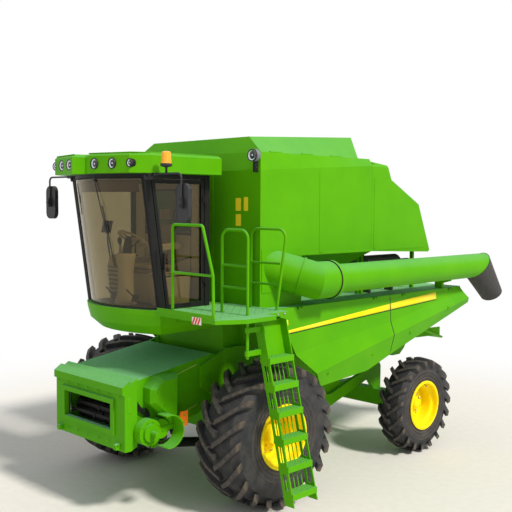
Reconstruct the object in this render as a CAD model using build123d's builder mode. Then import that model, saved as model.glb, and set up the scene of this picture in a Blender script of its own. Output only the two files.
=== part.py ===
from build123d import *
from math import cos, hypot, radians, sin
import os

os.makedirs("parts", exist_ok=True)

# Combine harvester, in millimetres. While it is drawn, y = 0 is the middle of the front axle,
# x = 0 the middle of the machine and z = 0 the ground. The front of the machine faces -Y and
# its left side, with the ladder and the unloading tube, faces +X.
# ORIGIN moves every finished piece so that the origin lies on the ground, midway along the
# machine and midway across all that stands out of it.
ORIGIN = Location((-270, -1708, 0))

# Clearances: what turns or slides in a seat, and what passes something else
RUNNING_FIT = 0.3
WALL_FIT = 0.5
PASSING_GAP = 12

# Wheels
WHEELBASE = 3320
TRACK_HALF = 1430
FRONT_TYRE_RADIUS = 915
FRONT_TYRE_WIDTH = 740
FRONT_RIM_RADIUS = 385
REAR_TYRE_RADIUS = 720
REAR_TYRE_WIDTH = 430
REAR_RIM_RADIUS = 350
FRONT_LUG_HEIGHT = 62
REAR_LUG_HEIGHT = 46
RIM_SHEET = 14
RIM_LIP = 26

# Front axle and final drives
AXLE_BEAM = 250
FINAL_DRIVE_RADIUS = 250
FINAL_DRIVE_INNER = 800
FINAL_DRIVE_OUTER = 1030
FRONT_STUB_RADIUS = 80

# Steered rear axle
REAR_BEAM_HEIGHT = 250
REAR_BEAM_DEPTH = 180
KINGPIN_X = 1120
KINGPIN_RADIUS = 38
KNUCKLE_HALF = 110
KNUCKLE_RADIUS = 75
YOKE_PLATE = 50
REAR_STUB_RADIUS = 50
STEER_ARM_LENGTH = 230
STEER_ARM_THICKNESS = 40
TIE_ROD_RADIUS = 24
TIE_EYE_HEIGHT = 60
TIE_PIN_RADIUS = 18

# Separator body and its deck
BODY_HALF = 640
BODY_FRONT_Y = -20
BODY_REAR_Y = WHEELBASE - 20
STRAW_HOOD_LENGTH = 1260
DECK_Z = 2480
DECK_SHEET = 40
DECK_REAR_Y = WHEELBASE + 1130

# Feeder house
FEEDER_PIVOT_Y = -350
FEEDER_PIVOT_Z = 1560
FEEDER_HALF = 690
FEEDER_SHEET = 25
FEEDER_FRONT_Y = -1500
FEEDER_PIN_RADIUS = 60
FRAME_HALF = 748
FRAME_FRONT_Y = -1680
FRAME_BOTTOM_Z = 850
FRAME_TOP_Z = 1610
DRUM_RADIUS = 175
DRUM_SHAFT_RADIUS = 28
HEADER_SHAFT_RADIUS = 34

# Lift cylinders
LIFT_X = 500
LIFT_BASE_Y = -200
LIFT_BASE_Z = 640
LIFT_EYE_Y = -1100
LIFT_EYE_Z = 800
LIFT_BARREL_RADIUS = 62
LIFT_ROD_RADIUS = 34
LIFT_PIN_RADIUS = 26
LIFT_EYE_DRIFT = 13

# Cab
CAB_HALF = 780
CAB_FLOOR_Z = 2500
CAB_TOP_Z = 4150
CAB_REAR_Y = -380
CAB_FRONT_FOOT_Y = -1120
CAB_FRONT_HEAD_Y = -1360
WINDSCREEN_BOW = 260
POST = 60
GLASS = 8
HEAD_RAIL = 50
ROOF_HALF = 950
ROOF_DEPTH = 240
LAMP_RISE = 112
DOOR_SHEET = 36

# Platform, rails and ladder
PLATFORM_OUTER_X = 1850
PLATFORM_FRONT_Y = -1250
LANDING_OUTER_X = 2030
PLATFORM_SHEET = 50
RAIL_RADIUS = 17.5
RAIL_TOP_Z = 3550
HINGE_POST = (1805, -700)
HINGE_POST_FOOT_Z = 1990
LADDER_FRONT_Y = -480
LADDER_REAR_Y = -60
LADDER_TOP_X = 1690
LADDER_TOP_Z = 2405
LADDER_FOOT_X = 2220
LADDER_FOOT_Z = 300
LADDER_DEPTH = 140
LADDER_STEPS = 6
LADDER_SHEET = 14

# Grain tank, and the shelf that stands out of the deck on both sides of it
TANK_HALF = 1350
SHELF_HALF = TANK_HALF + 150
TANK_FRONT_Y = -40
TANK_REAR_Y = 2250
TANK_SHEET = 22
TANK_SKIRT_Z = 3120
LEG_X = TANK_HALF - 250
SEAM = 2
TANK_SHOULDER_FRONT_Z = 4220
TANK_SHOULDER_REAR_Z = 4350
TANK_RIM_Z = 4450
TANK_RIM_INSET = 60
EXTENSION_FRONT_Z = 4660
EXTENSION_REAR_Z = 4770
EXTENSION_INSET = 300

# Engine bay
HOOD_REAR_Y = TANK_REAR_Y + 1510
ENGINE_HALF = 420
SCREEN_RADIUS = 350
SCREEN_Y = TANK_REAR_Y + 650
SCREEN_Z = 3540

# Side shields
SHIELD_FRONT_Y = 80
SHIELD_SPLIT_Y = WHEELBASE - 860
SHIELD_REAR_Y = WHEELBASE + 1250
SHIELD_SHEET = 24

# Unloading tube
TUBE_X = TANK_HALF + 350
TUBE_Z = 2820
TUBE_RADIUS = 190
TUBE_SHEET = 12
TUBE_END_Y = WHEELBASE + 1440
SPOUT_SHEET = 15
ELBOW_START = (TANK_HALF - 170, 190, TUBE_Z + 185)
ELBOW_CORNER = (TUBE_X, 620, TUBE_Z)
ELBOW_RADIUS = 240
COLLAR = 12


def side_slab(outline, x_from, x_to, mode=Mode.ADD):
    """Adds a side outline of (y, z) points, pushed out across the machine."""
    with BuildSketch(Plane.YZ.offset(x_from)) as profile:
        with BuildLine():
            Polyline(*outline, close=True)
        make_face()
    extrude(profile.sketch, amount=x_to - x_from, mode=mode)


def front_slab(outline, y_from, y_to, mode=Mode.ADD):
    """Adds a front outline of (x, z) points, pushed back along the machine."""
    with BuildSketch(Plane.XZ.offset(-y_to)) as profile:
        with BuildLine():
            Polyline(*outline, close=True)
        make_face()
    extrude(profile.sketch, amount=y_to - y_from, mode=mode)


def plan_slab(outline, z_from, z_to, mode=Mode.ADD):
    """Adds a plan outline of (x, y) points, pushed up from z_from to z_to."""
    with BuildSketch(Plane.XY.offset(z_from)) as profile:
        with BuildLine():
            Polyline(*outline, close=True)
        make_face()
    extrude(profile.sketch, amount=z_to - z_from, mode=mode)


def block(x_from, x_to, y_from, y_to, z_from, z_to, mode=Mode.ADD):
    """Adds an upright block between two corners."""
    plan_slab([(x_from, y_from), (x_to, y_from), (x_to, y_to), (x_from, y_to)],
              z_from, z_to, mode)


def bar(start, end, radius, mode=Mode.ADD):
    """Adds a round bar from one point to another."""
    run = Vector(*end) - Vector(*start)
    with BuildSketch(Plane(origin=start, z_dir=run)) as profile:
        Circle(radius)
    extrude(profile.sketch, amount=run.length, mode=mode)


def rail(corners, bend, radius=RAIL_RADIUS):
    """Adds a bent tube along the corners, with a bend of the given radius at each."""
    with BuildLine() as path:
        FilletPolyline(*corners, radius=bend)
    start = Vector(*corners[0])
    with BuildSketch(Plane(origin=start, z_dir=Vector(*corners[1]) - start)) as profile:
        Circle(radius)
    sweep(profile.sketch, path=path.line)


def ring_section(points, axis, mode=Mode.ADD):
    """Adds a ring turned about a crosswise axis from (x, radius) points."""
    with BuildSketch(Plane.XZ.offset(-axis.position.Y)) as profile:
        with BuildLine():
            Polyline(*[(x, axis.position.Z + r) for x, r in points], close=True)
        make_face()
    revolve(profile.sketch, axis=axis, mode=mode)


# Tyres. The carcass is turned about the axle. Each lug is a slanting bar that grows from the
# crown and ends on the shoulder, and the two sides are half a pitch apart.
def tyre(axle, centre_x, radius, width, rim_radius, lug_height, lugs):
    crown = radius - lug_height
    half = width / 2
    bead = rim_radius + RUNNING_FIT
    middle = (crown + rim_radius) / 2
    with BuildPart() as lug:
        reach = half - 6
        drop = 0.72 * reach
        thick = 0.082 * crown
        y = axle.position.Y
        z = axle.position.Z
        with BuildSketch(Plane.XY.offset(z + crown - 0.16 * crown)) as foot:
            with BuildLine():
                Polyline((centre_x - 20, y - thick / 2), (centre_x + 0.35 * reach, y + 0.24 * drop),
                         (centre_x + reach, y + drop), (centre_x + reach, y + drop + 1.25 * thick),
                         (centre_x + 0.35 * reach, y + 0.24 * drop + thick),
                         (centre_x - 20, y + thick / 2), close=True)
            make_face()
        extrude(foot.sketch, amount=0.16 * crown + lug_height + 40)
        with BuildSketch(Plane.XZ.offset(-y)) as envelope:
            with BuildLine():
                Polyline((centre_x - half, z + 0.78 * crown), (centre_x - half, z + 0.94 * radius),
                         (centre_x - 0.5 * half, z + radius - 6), (centre_x, z + radius),
                         (centre_x + 0.5 * half, z + radius - 6),
                         (centre_x + half, z + 0.94 * radius),
                         (centre_x + half, z + 0.78 * crown), close=True)
            make_face()
        revolve(envelope.sketch, axis=axle, mode=Mode.INTERSECT)
    other_side = lug.part.mirror(Plane.YZ.offset(centre_x))
    pitch = 360 / lugs
    with BuildPart() as body:
        wall = half - 34
        ring_section([(centre_x - half + 60, bead), (centre_x - wall, middle),
                      (centre_x - wall + 12, 0.89 * crown), (centre_x - 0.62 * half, 0.985 * crown),
                      (centre_x, crown), (centre_x + 0.62 * half, 0.985 * crown),
                      (centre_x + wall - 12, 0.89 * crown), (centre_x + wall, middle),
                      (centre_x + half - 60, bead)], axle)
        add([lug.part.rotate(axle, i * pitch) for i in range(lugs)]
            + [other_side.rotate(axle, (i + 0.5) * pitch) for i in range(lugs)])
    return body


# Rims: a rolled barrel with two lips, and a pressed disc bolted to the hub. The dished side of
# the disc faces out, and the hub's bore turns on the axle's stub.
def rim(axle, centre_x, width, rim_radius, disc_x, stub_radius, hub_half):
    half = width / 2
    inner = rim_radius - RIM_SHEET
    seat = rim_radius - 0.16 * rim_radius
    outer = centre_x + half
    with BuildPart() as body:
        ring_section([(centre_x - half, rim_radius), (centre_x - half, rim_radius + RIM_LIP),
                      (centre_x - half - RIM_SHEET, rim_radius + RIM_LIP),
                      (centre_x - half - RIM_SHEET, inner), (centre_x - 0.6 * half, inner),
                      (centre_x - 0.35 * half, seat - RIM_SHEET),
                      (centre_x + 0.5 * half, seat - RIM_SHEET), (centre_x + 0.7 * half, inner),
                      (outer + RIM_SHEET, inner), (outer + RIM_SHEET, rim_radius + RIM_LIP),
                      (outer, rim_radius + RIM_LIP), (outer, rim_radius)], axle)
        ring_section([(disc_x - 22, stub_radius + RUNNING_FIT), (disc_x - 22, 0.55 * rim_radius),
                      (disc_x - 60, 0.62 * rim_radius), (disc_x - 60, seat - RIM_SHEET / 2),
                      (disc_x - 40, seat - RIM_SHEET / 2), (disc_x - 40, 0.64 * rim_radius),
                      (disc_x, 0.57 * rim_radius), (disc_x, stub_radius + RUNNING_FIT)], axle)
        ring_section([(disc_x - hub_half, stub_radius + RUNNING_FIT),
                      (disc_x - hub_half, stub_radius + 40), (disc_x + 46, stub_radius + 34),
                      (disc_x + 46, stub_radius + RUNNING_FIT)], axle)
        bolt_circle = 0.42 * rim_radius
        for i in range(10):
            angle = radians(36 * i)
            y = axle.position.Y + bolt_circle * cos(angle)
            z = axle.position.Z + bolt_circle * sin(angle)
            bar((disc_x - 4, y, z), (disc_x + 20, y, z), 0.032 * rim_radius)
    return body


front_axle_line = Axis((0, 0, FRONT_TYRE_RADIUS), (1, 0, 0))
rear_axle_line = Axis((0, WHEELBASE, REAR_TYRE_RADIUS), (1, 0, 0))
front_tyre_left = tyre(front_axle_line, TRACK_HALF, FRONT_TYRE_RADIUS, FRONT_TYRE_WIDTH,
                       FRONT_RIM_RADIUS, FRONT_LUG_HEIGHT, 20)
rear_tyre_left = tyre(rear_axle_line, TRACK_HALF, REAR_TYRE_RADIUS, REAR_TYRE_WIDTH,
                      REAR_RIM_RADIUS, REAR_LUG_HEIGHT, 19)
front_disc_x = TRACK_HALF + 60
rear_disc_x = TRACK_HALF - 20
front_rim_left = rim(front_axle_line, TRACK_HALF, FRONT_TYRE_WIDTH - 110, FRONT_RIM_RADIUS,
                     front_disc_x, FRONT_STUB_RADIUS, 150)
rear_rim_left = rim(rear_axle_line, TRACK_HALF, REAR_TYRE_WIDTH - 90, REAR_RIM_RADIUS,
                    rear_disc_x, REAR_STUB_RADIUS, 90)
with BuildPart() as front_tyre_right:
    add(front_tyre_left.part.mirror(Plane.YZ))
with BuildPart() as rear_tyre_right:
    add(rear_tyre_left.part.mirror(Plane.YZ))
with BuildPart() as front_rim_right:
    add(front_rim_left.part.mirror(Plane.YZ))
with BuildPart() as rear_rim_right:
    add(rear_rim_left.part.mirror(Plane.YZ))

# Front axle: a box beam under the body, with a cast final drive at each end. Its stub shafts
# carry the drive wheels. Two brackets at the front hold the feet of the lift cylinders.
half_beam = AXLE_BEAM / 2
axle_z = FRONT_TYRE_RADIUS
stub_end = front_disc_x + 60
with BuildPart() as front_axle:
    block(-FINAL_DRIVE_INNER, FINAL_DRIVE_INNER, -half_beam, half_beam,
          axle_z - half_beam, axle_z + half_beam)
    for side in (-1, 1):
        bar((side * FINAL_DRIVE_INNER, 0, axle_z), (side * FINAL_DRIVE_OUTER, 0, axle_z),
            FINAL_DRIVE_RADIUS)
        bar((side * FINAL_DRIVE_INNER, 180, axle_z + 160),
            (side * (FINAL_DRIVE_OUTER - 60), 180, axle_z + 160), 0.72 * FINAL_DRIVE_RADIUS)
        bar((side * FINAL_DRIVE_OUTER, 0, axle_z), (side * (front_disc_x - 160), 0, axle_z),
            FRONT_STUB_RADIUS + 60)
        bar((side * FINAL_DRIVE_OUTER, 0, axle_z), (side * stub_end, 0, axle_z),
            FRONT_STUB_RADIUS)
        for edge in (-1, 1):
            inner = side * LIFT_X + edge * (LIFT_BARREL_RADIUS + 6)
            outer = inner + edge * 20
            side_slab([(-half_beam, axle_z + 60), (-half_beam, axle_z - half_beam),
                       (LIFT_BASE_Y + 50, LIFT_BASE_Z - 50), (LIFT_BASE_Y - 50, LIFT_BASE_Z - 50),
                       (LIFT_BASE_Y - 50, LIFT_BASE_Z + 40)], min(inner, outer), max(inner, outer))
        bar((side * LIFT_X - LIFT_BARREL_RADIUS - 20, LIFT_BASE_Y, LIFT_BASE_Z),
            (side * LIFT_X + LIFT_BARREL_RADIUS + 20, LIFT_BASE_Y, LIFT_BASE_Z), LIFT_PIN_RADIUS)

# Separator body: the sheet-metal box that holds threshing, walkers and sieves. Its outline
# steps up over the front axle, drops to the cleaning shoe and climbs to the rear.
with BuildPart() as main_body:
    side_slab([(BODY_FRONT_Y, DECK_Z - DECK_SHEET), (BODY_FRONT_Y, 1060), (420, 1060),
               (640, 800), (1500, 760), (BODY_REAR_Y - 1000, 860), (BODY_REAR_Y - 780, 1220),
               (BODY_REAR_Y, 1440), (BODY_REAR_Y, DECK_Z - DECK_SHEET)], -BODY_HALF, BODY_HALF)
    for side in (-1, 1):
        side_slab([(300, 2200), (300, 1500), (1150, 1300), (2300, 1450), (2300, 2200)],
                  side * BODY_HALF, side * (BODY_HALF + 60))
        side_slab([(BODY_FRONT_Y, 1900), (FEEDER_PIVOT_Y - 130, 1720),
                   (FEEDER_PIVOT_Y - 130, 1440), (FEEDER_PIVOT_Y + 20, 1360), (BODY_FRONT_Y, 1100),
                   (400, 1100), (400, 1900)],
                  side * (FEEDER_HALF + PASSING_GAP), side * (FEEDER_HALF + PASSING_GAP + 36))
        block(min(side * BODY_HALF, side * (FEEDER_HALF + PASSING_GAP)),
              max(side * BODY_HALF, side * (FEEDER_HALF + PASSING_GAP)),
              BODY_FRONT_Y, 400, 1100, 1900)
        side_slab([(-half_beam, axle_z + half_beam), (half_beam, axle_z + half_beam),
                   (half_beam + 80, 1100), (-half_beam, 1100)],
                  side * 420, side * 480)
        bar((side * (FEEDER_HALF + 2), FEEDER_PIVOT_Y, FEEDER_PIVOT_Z),
            (side * (FEEDER_HALF + PASSING_GAP + 90), FEEDER_PIVOT_Y, FEEDER_PIVOT_Z),
            FEEDER_PIN_RADIUS + RUNNING_FIT, mode=Mode.SUBTRACT)

# Deck: a plate over the body with a shelf along each side that carries the tank, the engine
# and the hinges of the side shields, and gusset brackets down to the body.
with BuildPart() as deck_frame:
    block(-SHELF_HALF, SHELF_HALF, TANK_FRONT_Y, DECK_REAR_Y, DECK_Z - DECK_SHEET, DECK_Z)
    for side in (-1, 1):
        for y in (250, 1350, BODY_REAR_Y - 900, BODY_REAR_Y - 50):
            front_slab([(side * BODY_HALF, DECK_Z - DECK_SHEET),
                        (side * (SHELF_HALF - 60), DECK_Z - DECK_SHEET),
                        (side * (SHELF_HALF - 60), DECK_Z - 90), (side * BODY_HALF, 2210)],
                       y, y + 40)

# Straw hood: the rear of the body, where straw drops to the chopper. It is open below.
hood_half = BODY_HALF + 40
hood_sheet = 30
hood_low_y = BODY_REAR_Y + 320
hood_end_y = BODY_REAR_Y + STRAW_HOOD_LENGTH
hood_low_z = 1560
hood_mouth_slope = 220 / 630
deck_low = DECK_Z - DECK_SHEET
with BuildPart() as straw_hood:
    side_slab([(BODY_REAR_Y, deck_low), (BODY_REAR_Y, hood_low_z - 60), (hood_low_y, hood_low_z),
               (hood_end_y - 310, 1780), (hood_end_y, 1980), (hood_end_y, 2300),
               (hood_end_y - 120, deck_low)], -hood_half, hood_half)
    side_slab([(BODY_REAR_Y + hood_sheet, deck_low - hood_sheet), (BODY_REAR_Y + hood_sheet, 1300),
               (hood_low_y + 80, 1300), (hood_end_y - 260, 1600), (hood_end_y - hood_sheet, 1950),
               (hood_end_y - hood_sheet, 2290), (hood_end_y - 140, deck_low - hood_sheet)],
              -hood_half + hood_sheet, hood_half - hood_sheet, mode=Mode.SUBTRACT)

# Chopper: a box with a bladed rotor's housing under the hood's mouth, and the sloping board
# with curved vanes that spreads the straw behind it.
def hood_mouth_z(y):
    """The height of the hood's sloping lower edge."""
    return hood_low_z + (y - hood_low_y) * hood_mouth_slope


chopper_front_y = hood_low_y + 20
board_y = hood_low_y + 580
board_length = 700
board_half = 900
vanes = 7
with BuildPart() as chopper:
    side_slab([(chopper_front_y, hood_mouth_z(chopper_front_y)), (chopper_front_y, 1400),
               (hood_low_y + 140, 1310), (hood_low_y + 340, 1310), (hood_low_y + 460, 1400),
               (board_y, 1560), (board_y, hood_mouth_z(board_y))], -hood_half, hood_half)
    side_slab([(board_y, 1760), (board_y, 1720), (board_y + board_length, 1500),
               (board_y + board_length + 20, 1530)], -board_half, board_half)
    vane_pitch = (2 * board_half - 300) / (vanes - 1)
    for i in range(-(vanes // 2), vanes // 2 + 1):
        x = i * vane_pitch
        flare = x + i * 42
        plan_slab([(x - 6, board_y + 15), (x + 6, board_y + 15),
                   (flare + 6, board_y + board_length - 50),
                   (flare - 6, board_y + board_length - 50)], 1560, 1700)

# Rear axle: a box beam with a yoke at each end, under the legs of the body's frame.
beam_z = REAR_TYRE_RADIUS
with BuildPart() as rear_axle:
    block(-KINGPIN_X + 130, KINGPIN_X - 130, WHEELBASE - REAR_BEAM_DEPTH / 2,
          WHEELBASE + REAR_BEAM_DEPTH / 2, beam_z - REAR_BEAM_HEIGHT / 2,
          beam_z + REAR_BEAM_HEIGHT / 2)
    for side in (-1, 1):
        for low in (beam_z - KNUCKLE_HALF - RUNNING_FIT - YOKE_PLATE,
                    beam_z + KNUCKLE_HALF + RUNNING_FIT):
            inner = side * (KINGPIN_X - 150)
            tip = side * KINGPIN_X
            block(min(inner, tip), max(inner, tip), WHEELBASE - KNUCKLE_RADIUS,
                  WHEELBASE + KNUCKLE_RADIUS, low, low + YOKE_PLATE)
            bar((tip, WHEELBASE, low), (tip, WHEELBASE, low + YOKE_PLATE), KNUCKLE_RADIUS)
        bar((side * KINGPIN_X, WHEELBASE, beam_z - KNUCKLE_HALF - YOKE_PLATE),
            (side * KINGPIN_X, WHEELBASE, beam_z + KNUCKLE_HALF + YOKE_PLATE), KINGPIN_RADIUS)
        side_slab([(WHEELBASE - 90, beam_z + 120), (WHEELBASE + 90, beam_z + 120),
                   (WHEELBASE + 90, 1200), (WHEELBASE - 60, 1460), (WHEELBASE - 240, 1460),
                   (WHEELBASE - 260, 1190), (WHEELBASE - 1160, 930), (WHEELBASE - 1700, 960),
                   (WHEELBASE - 1700, 830), (WHEELBASE - 1150, 750), (WHEELBASE - 240, 1030)],
                  side * BODY_HALF, side * (BODY_HALF + 60))

# Steering knuckles: a post between the yoke plates, with a stub for the wheel and an arm
# straight behind it, whose pin takes the eye of the tie rod.
arm_y = WHEELBASE + STEER_ARM_LENGTH
arm_low = beam_z - 95
eye_low = arm_low + STEER_ARM_THICKNESS + RUNNING_FIT
knuckles = {}
for name, side in (("knuckle_left", 1), ("knuckle_right", -1)):
    with BuildPart() as knuckle:
        post_x = side * KINGPIN_X
        bar((post_x, WHEELBASE, beam_z - KNUCKLE_HALF), (post_x, WHEELBASE, beam_z + KNUCKLE_HALF),
            KNUCKLE_RADIUS)
        bar((post_x, WHEELBASE, beam_z), (side * (rear_disc_x - 92), WHEELBASE, beam_z),
            REAR_STUB_RADIUS + 20)
        bar((post_x, WHEELBASE, beam_z), (side * (rear_disc_x + 40), WHEELBASE, beam_z),
            REAR_STUB_RADIUS)
        plan_slab([(post_x - 35, WHEELBASE), (post_x + 35, WHEELBASE),
                   (post_x + 35, arm_y), (post_x - 35, arm_y)],
                  arm_low, arm_low + STEER_ARM_THICKNESS)
        bar((post_x, arm_y, arm_low), (post_x, arm_y, arm_low + STEER_ARM_THICKNESS), 42)
        bar((post_x, arm_y, arm_low), (post_x, arm_y, eye_low + TIE_EYE_HEIGHT + 14),
            TIE_PIN_RADIUS)
        bar((post_x, WHEELBASE, beam_z - KNUCKLE_HALF), (post_x, WHEELBASE, beam_z + KNUCKLE_HALF),
            KINGPIN_RADIUS + RUNNING_FIT, mode=Mode.SUBTRACT)
    knuckles[name] = knuckle

# Tie rod: a tube across from arm to arm, with an eye round the pin of each arm.
with BuildPart() as tie_rod:
    rod_z = eye_low + TIE_EYE_HEIGHT / 2
    bar((-KINGPIN_X, arm_y, rod_z), (KINGPIN_X, arm_y, rod_z), TIE_ROD_RADIUS)
    for side in (-1, 1):
        eye_x = side * KINGPIN_X
        bar((eye_x, arm_y, eye_low), (eye_x, arm_y, eye_low + TIE_EYE_HEIGHT), 40)
        bar((eye_x, arm_y, eye_low - 1), (eye_x, arm_y, eye_low + TIE_EYE_HEIGHT + 1),
            TIE_PIN_RADIUS + RUNNING_FIT, mode=Mode.SUBTRACT)

# Feeder house: a sheet-metal chute, open at both ends, that pivots on two pins in the body's
# cheeks. Ribs stiffen its sides. Under it hang the lugs that the lift rods push on.
chute = [(FEEDER_FRONT_Y, 1665), (FEEDER_FRONT_Y, 890), (-900, 1010), (-420, 1130),
         (-120, 1300), (-70, 1560), (-120, 1800), (-240, 1850)]
inner_chute = [(FEEDER_FRONT_Y - 20, 1640), (FEEDER_FRONT_Y - 20, 915), (-905, 1036),
               (-430, 1156), (-140, 1330), (0, 1440), (0, 1790), (-240, 1824)]
drum_y = FEEDER_FRONT_Y + 190
drum_z = 1130
with BuildPart() as feeder_house:
    side_slab(chute, -FEEDER_HALF, FEEDER_HALF)
    side_slab(inner_chute, -FEEDER_HALF + FEEDER_SHEET, FEEDER_HALF - FEEDER_SHEET,
              mode=Mode.SUBTRACT)
    bar((-FEEDER_HALF - 5, drum_y, drum_z), (FEEDER_HALF + 5, drum_y, drum_z),
        DRUM_SHAFT_RADIUS + RUNNING_FIT, mode=Mode.SUBTRACT)
    for side in (-1, 1):
        rib_inner = min(side * FEEDER_HALF, side * (FEEDER_HALF + 10))
        side_slab([(-900, 1660), (-520, 1760), (-520, 1735), (-900, 1635)], rib_inner, rib_inner + 10)
        side_slab([(-900, 1130), (-480, 1240), (-480, 1215), (-900, 1105)], rib_inner, rib_inner + 10)
        bar((side * (FEEDER_HALF - 10), FEEDER_PIVOT_Y, FEEDER_PIVOT_Z),
            (side * (FEEDER_HALF + PASSING_GAP + 40), FEEDER_PIVOT_Y, FEEDER_PIVOT_Z),
            FEEDER_PIN_RADIUS)
        for edge in (-1, 1):
            inner = side * LIFT_X + edge * (LIFT_BARREL_RADIUS - 14)
            outer = inner + edge * 20
            side_slab([(LIFT_EYE_Y - 60, 985), (LIFT_EYE_Y - 40, LIFT_EYE_Z - 45),
                       (LIFT_EYE_Y + 40, LIFT_EYE_Z - 45), (LIFT_EYE_Y + 130, 1000)],
                      min(inner, outer), max(inner, outer))
        bar((side * LIFT_X - LIFT_BARREL_RADIUS, LIFT_EYE_Y, LIFT_EYE_Z),
            (side * LIFT_X + LIFT_BARREL_RADIUS, LIFT_EYE_Y, LIFT_EYE_Z), LIFT_PIN_RADIUS)

# Header frame: the front of the feeder house, which takes the cutting platform. It has a deep
# front frame with a wide mouth, a top that slopes back to the chute and two hooks below.
mouth = [(-520, 1080), (490, 1080), (490, 1400), (-520, 1400)]
mouth_border = [(-580, 1020), (550, 1020), (550, 1460), (-580, 1460)]
with BuildPart() as feeder_frame:
    side_slab([(FRAME_FRONT_Y, FRAME_TOP_Z), (FRAME_FRONT_Y, FRAME_BOTTOM_Z),
               (FEEDER_FRONT_Y - 90, FRAME_BOTTOM_Z), (FEEDER_FRONT_Y, 890),
               (FEEDER_FRONT_Y, 1715), (-1540, 1690)], -FRAME_HALF, FRAME_HALF)
    side_slab([(FRAME_FRONT_Y + 40, FRAME_TOP_Z - 40), (FRAME_FRONT_Y + 40, FRAME_BOTTOM_Z + 30),
               (FEEDER_FRONT_Y + 10, 925), (FEEDER_FRONT_Y + 10, 1660)],
              -FRAME_HALF + 40, FRAME_HALF - 40, mode=Mode.SUBTRACT)
    front_slab(mouth_border, FRAME_FRONT_Y - 28, FRAME_FRONT_Y)
    front_slab(mouth, FRAME_FRONT_Y - 30, FRAME_FRONT_Y + 50, mode=Mode.SUBTRACT)
    side_slab([(FRAME_FRONT_Y, FRAME_TOP_Z - 80), (FRAME_FRONT_Y - 34, FRAME_TOP_Z - 70),
               (FRAME_FRONT_Y - 34, FRAME_TOP_Z + 20), (FRAME_FRONT_Y + 70, FRAME_TOP_Z + 88),
               (FRAME_FRONT_Y + 90, FRAME_TOP_Z + 78), (FRAME_FRONT_Y + 20, FRAME_TOP_Z + 5)],
              -FRAME_HALF, FRAME_HALF)
    for x in (-640, 600):
        side_slab([(FRAME_FRONT_Y, FRAME_BOTTOM_Z + 90), (FRAME_FRONT_Y - 60, FRAME_BOTTOM_Z + 80),
                   (FRAME_FRONT_Y - 60, FRAME_BOTTOM_Z + 20), (FRAME_FRONT_Y, FRAME_BOTTOM_Z + 20)],
                  x, x + 50)

# Feeder drum: the slatted drum that the chain runs round, in the chute's front end.
with BuildPart() as feeder_drum:
    bar((-FEEDER_HALF + FEEDER_SHEET + 20, drum_y, drum_z),
        (FEEDER_HALF - FEEDER_SHEET - 20, drum_y, drum_z), DRUM_RADIUS - 40)
    for i in range(8):
        angle = radians(45 * i)
        for x_from, x_to in ((-600, -20), (20, 600)):
            bar((x_from, drum_y + (DRUM_RADIUS - 40) * cos(angle),
                 drum_z + (DRUM_RADIUS - 40) * sin(angle)),
                (x_to, drum_y + (DRUM_RADIUS - 40) * cos(angle),
                 drum_z + (DRUM_RADIUS - 40) * sin(angle)), 26)
    bar((-FEEDER_HALF + 2, drum_y, drum_z), (FEEDER_HALF - 2, drum_y, drum_z), DRUM_SHAFT_RADIUS)

# Feeder drive, on the left side of the chute: the folded guard over the drive chain, the round
# case of the header drive with its shaft, and a half-round shield behind the shaft.
drive_x = FEEDER_HALF
case_y = FEEDER_FRONT_Y + 100
case_z = 1065
shield_y = FEEDER_FRONT_Y + 300
with BuildPart() as feeder_drive:
    guard_low = [(-1213, 1700), (-932, 1707), (-950, 1140), (-1060, 1120), (-1365, 1396),
                 (-1364, 1577)]
    guard_high = [(-1200, 1660), (-985, 1665), (-995, 1220), (-1070, 1190), (-1320, 1415),
                  (-1320, 1560)]
    side_slab(guard_low, drive_x, drive_x + 130)
    sections = []
    for outline, x in ((guard_low, drive_x + 130), (guard_high, drive_x + 190)):
        with BuildSketch(Plane.YZ.offset(x)) as section:
            with BuildLine():
                Polyline(*outline, close=True)
            make_face()
        sections.append(section.sketch)
    loft(sections, ruled=True)
    bar((drive_x, case_y, case_z), (FRAME_HALF + PASSING_GAP, case_y, case_z), 90)
    bar((FRAME_HALF + PASSING_GAP, case_y, case_z), (drive_x + 190, case_y, case_z), 160)
    bar((drive_x + 190, case_y, case_z), (drive_x + 225, case_y, case_z), 110)
    bar((drive_x + 225, case_y, case_z), (drive_x + 330, case_y, case_z), HEADER_SHAFT_RADIUS)
    bar((drive_x, shield_y, case_z), (drive_x + 140, shield_y, case_z), 120)
    with BuildSketch(Plane.YZ.offset(drive_x + 140)) as half_round:
        with Locations((shield_y, case_z)):
            Circle(205)
            Circle(193, mode=Mode.SUBTRACT)
        with Locations((shield_y - 260, case_z)):
            Rectangle(400, 500, mode=Mode.SUBTRACT)
    extrude(half_round.sketch, amount=190)
    block(drive_x + 130, drive_x + 150, shield_y - 40, shield_y + 200, case_z - 30, case_z + 30)

# Lift cylinders: two barrels with their feet on the axle's brackets, and two rods whose eyes
# go round the pins under the chute. The eyes are wider than the pins by the drift of the
# linkage that is opened there.
lift_run = Vector(0, LIFT_EYE_Y - LIFT_BASE_Y, LIFT_EYE_Z - LIFT_BASE_Z)
lift_dir = lift_run.normalized()


def lift_point(distance, x):
    """The point of the cylinder's line at a distance from its foot."""
    return (x, LIFT_BASE_Y + lift_dir.Y * distance, LIFT_BASE_Z + lift_dir.Z * distance)


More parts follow.
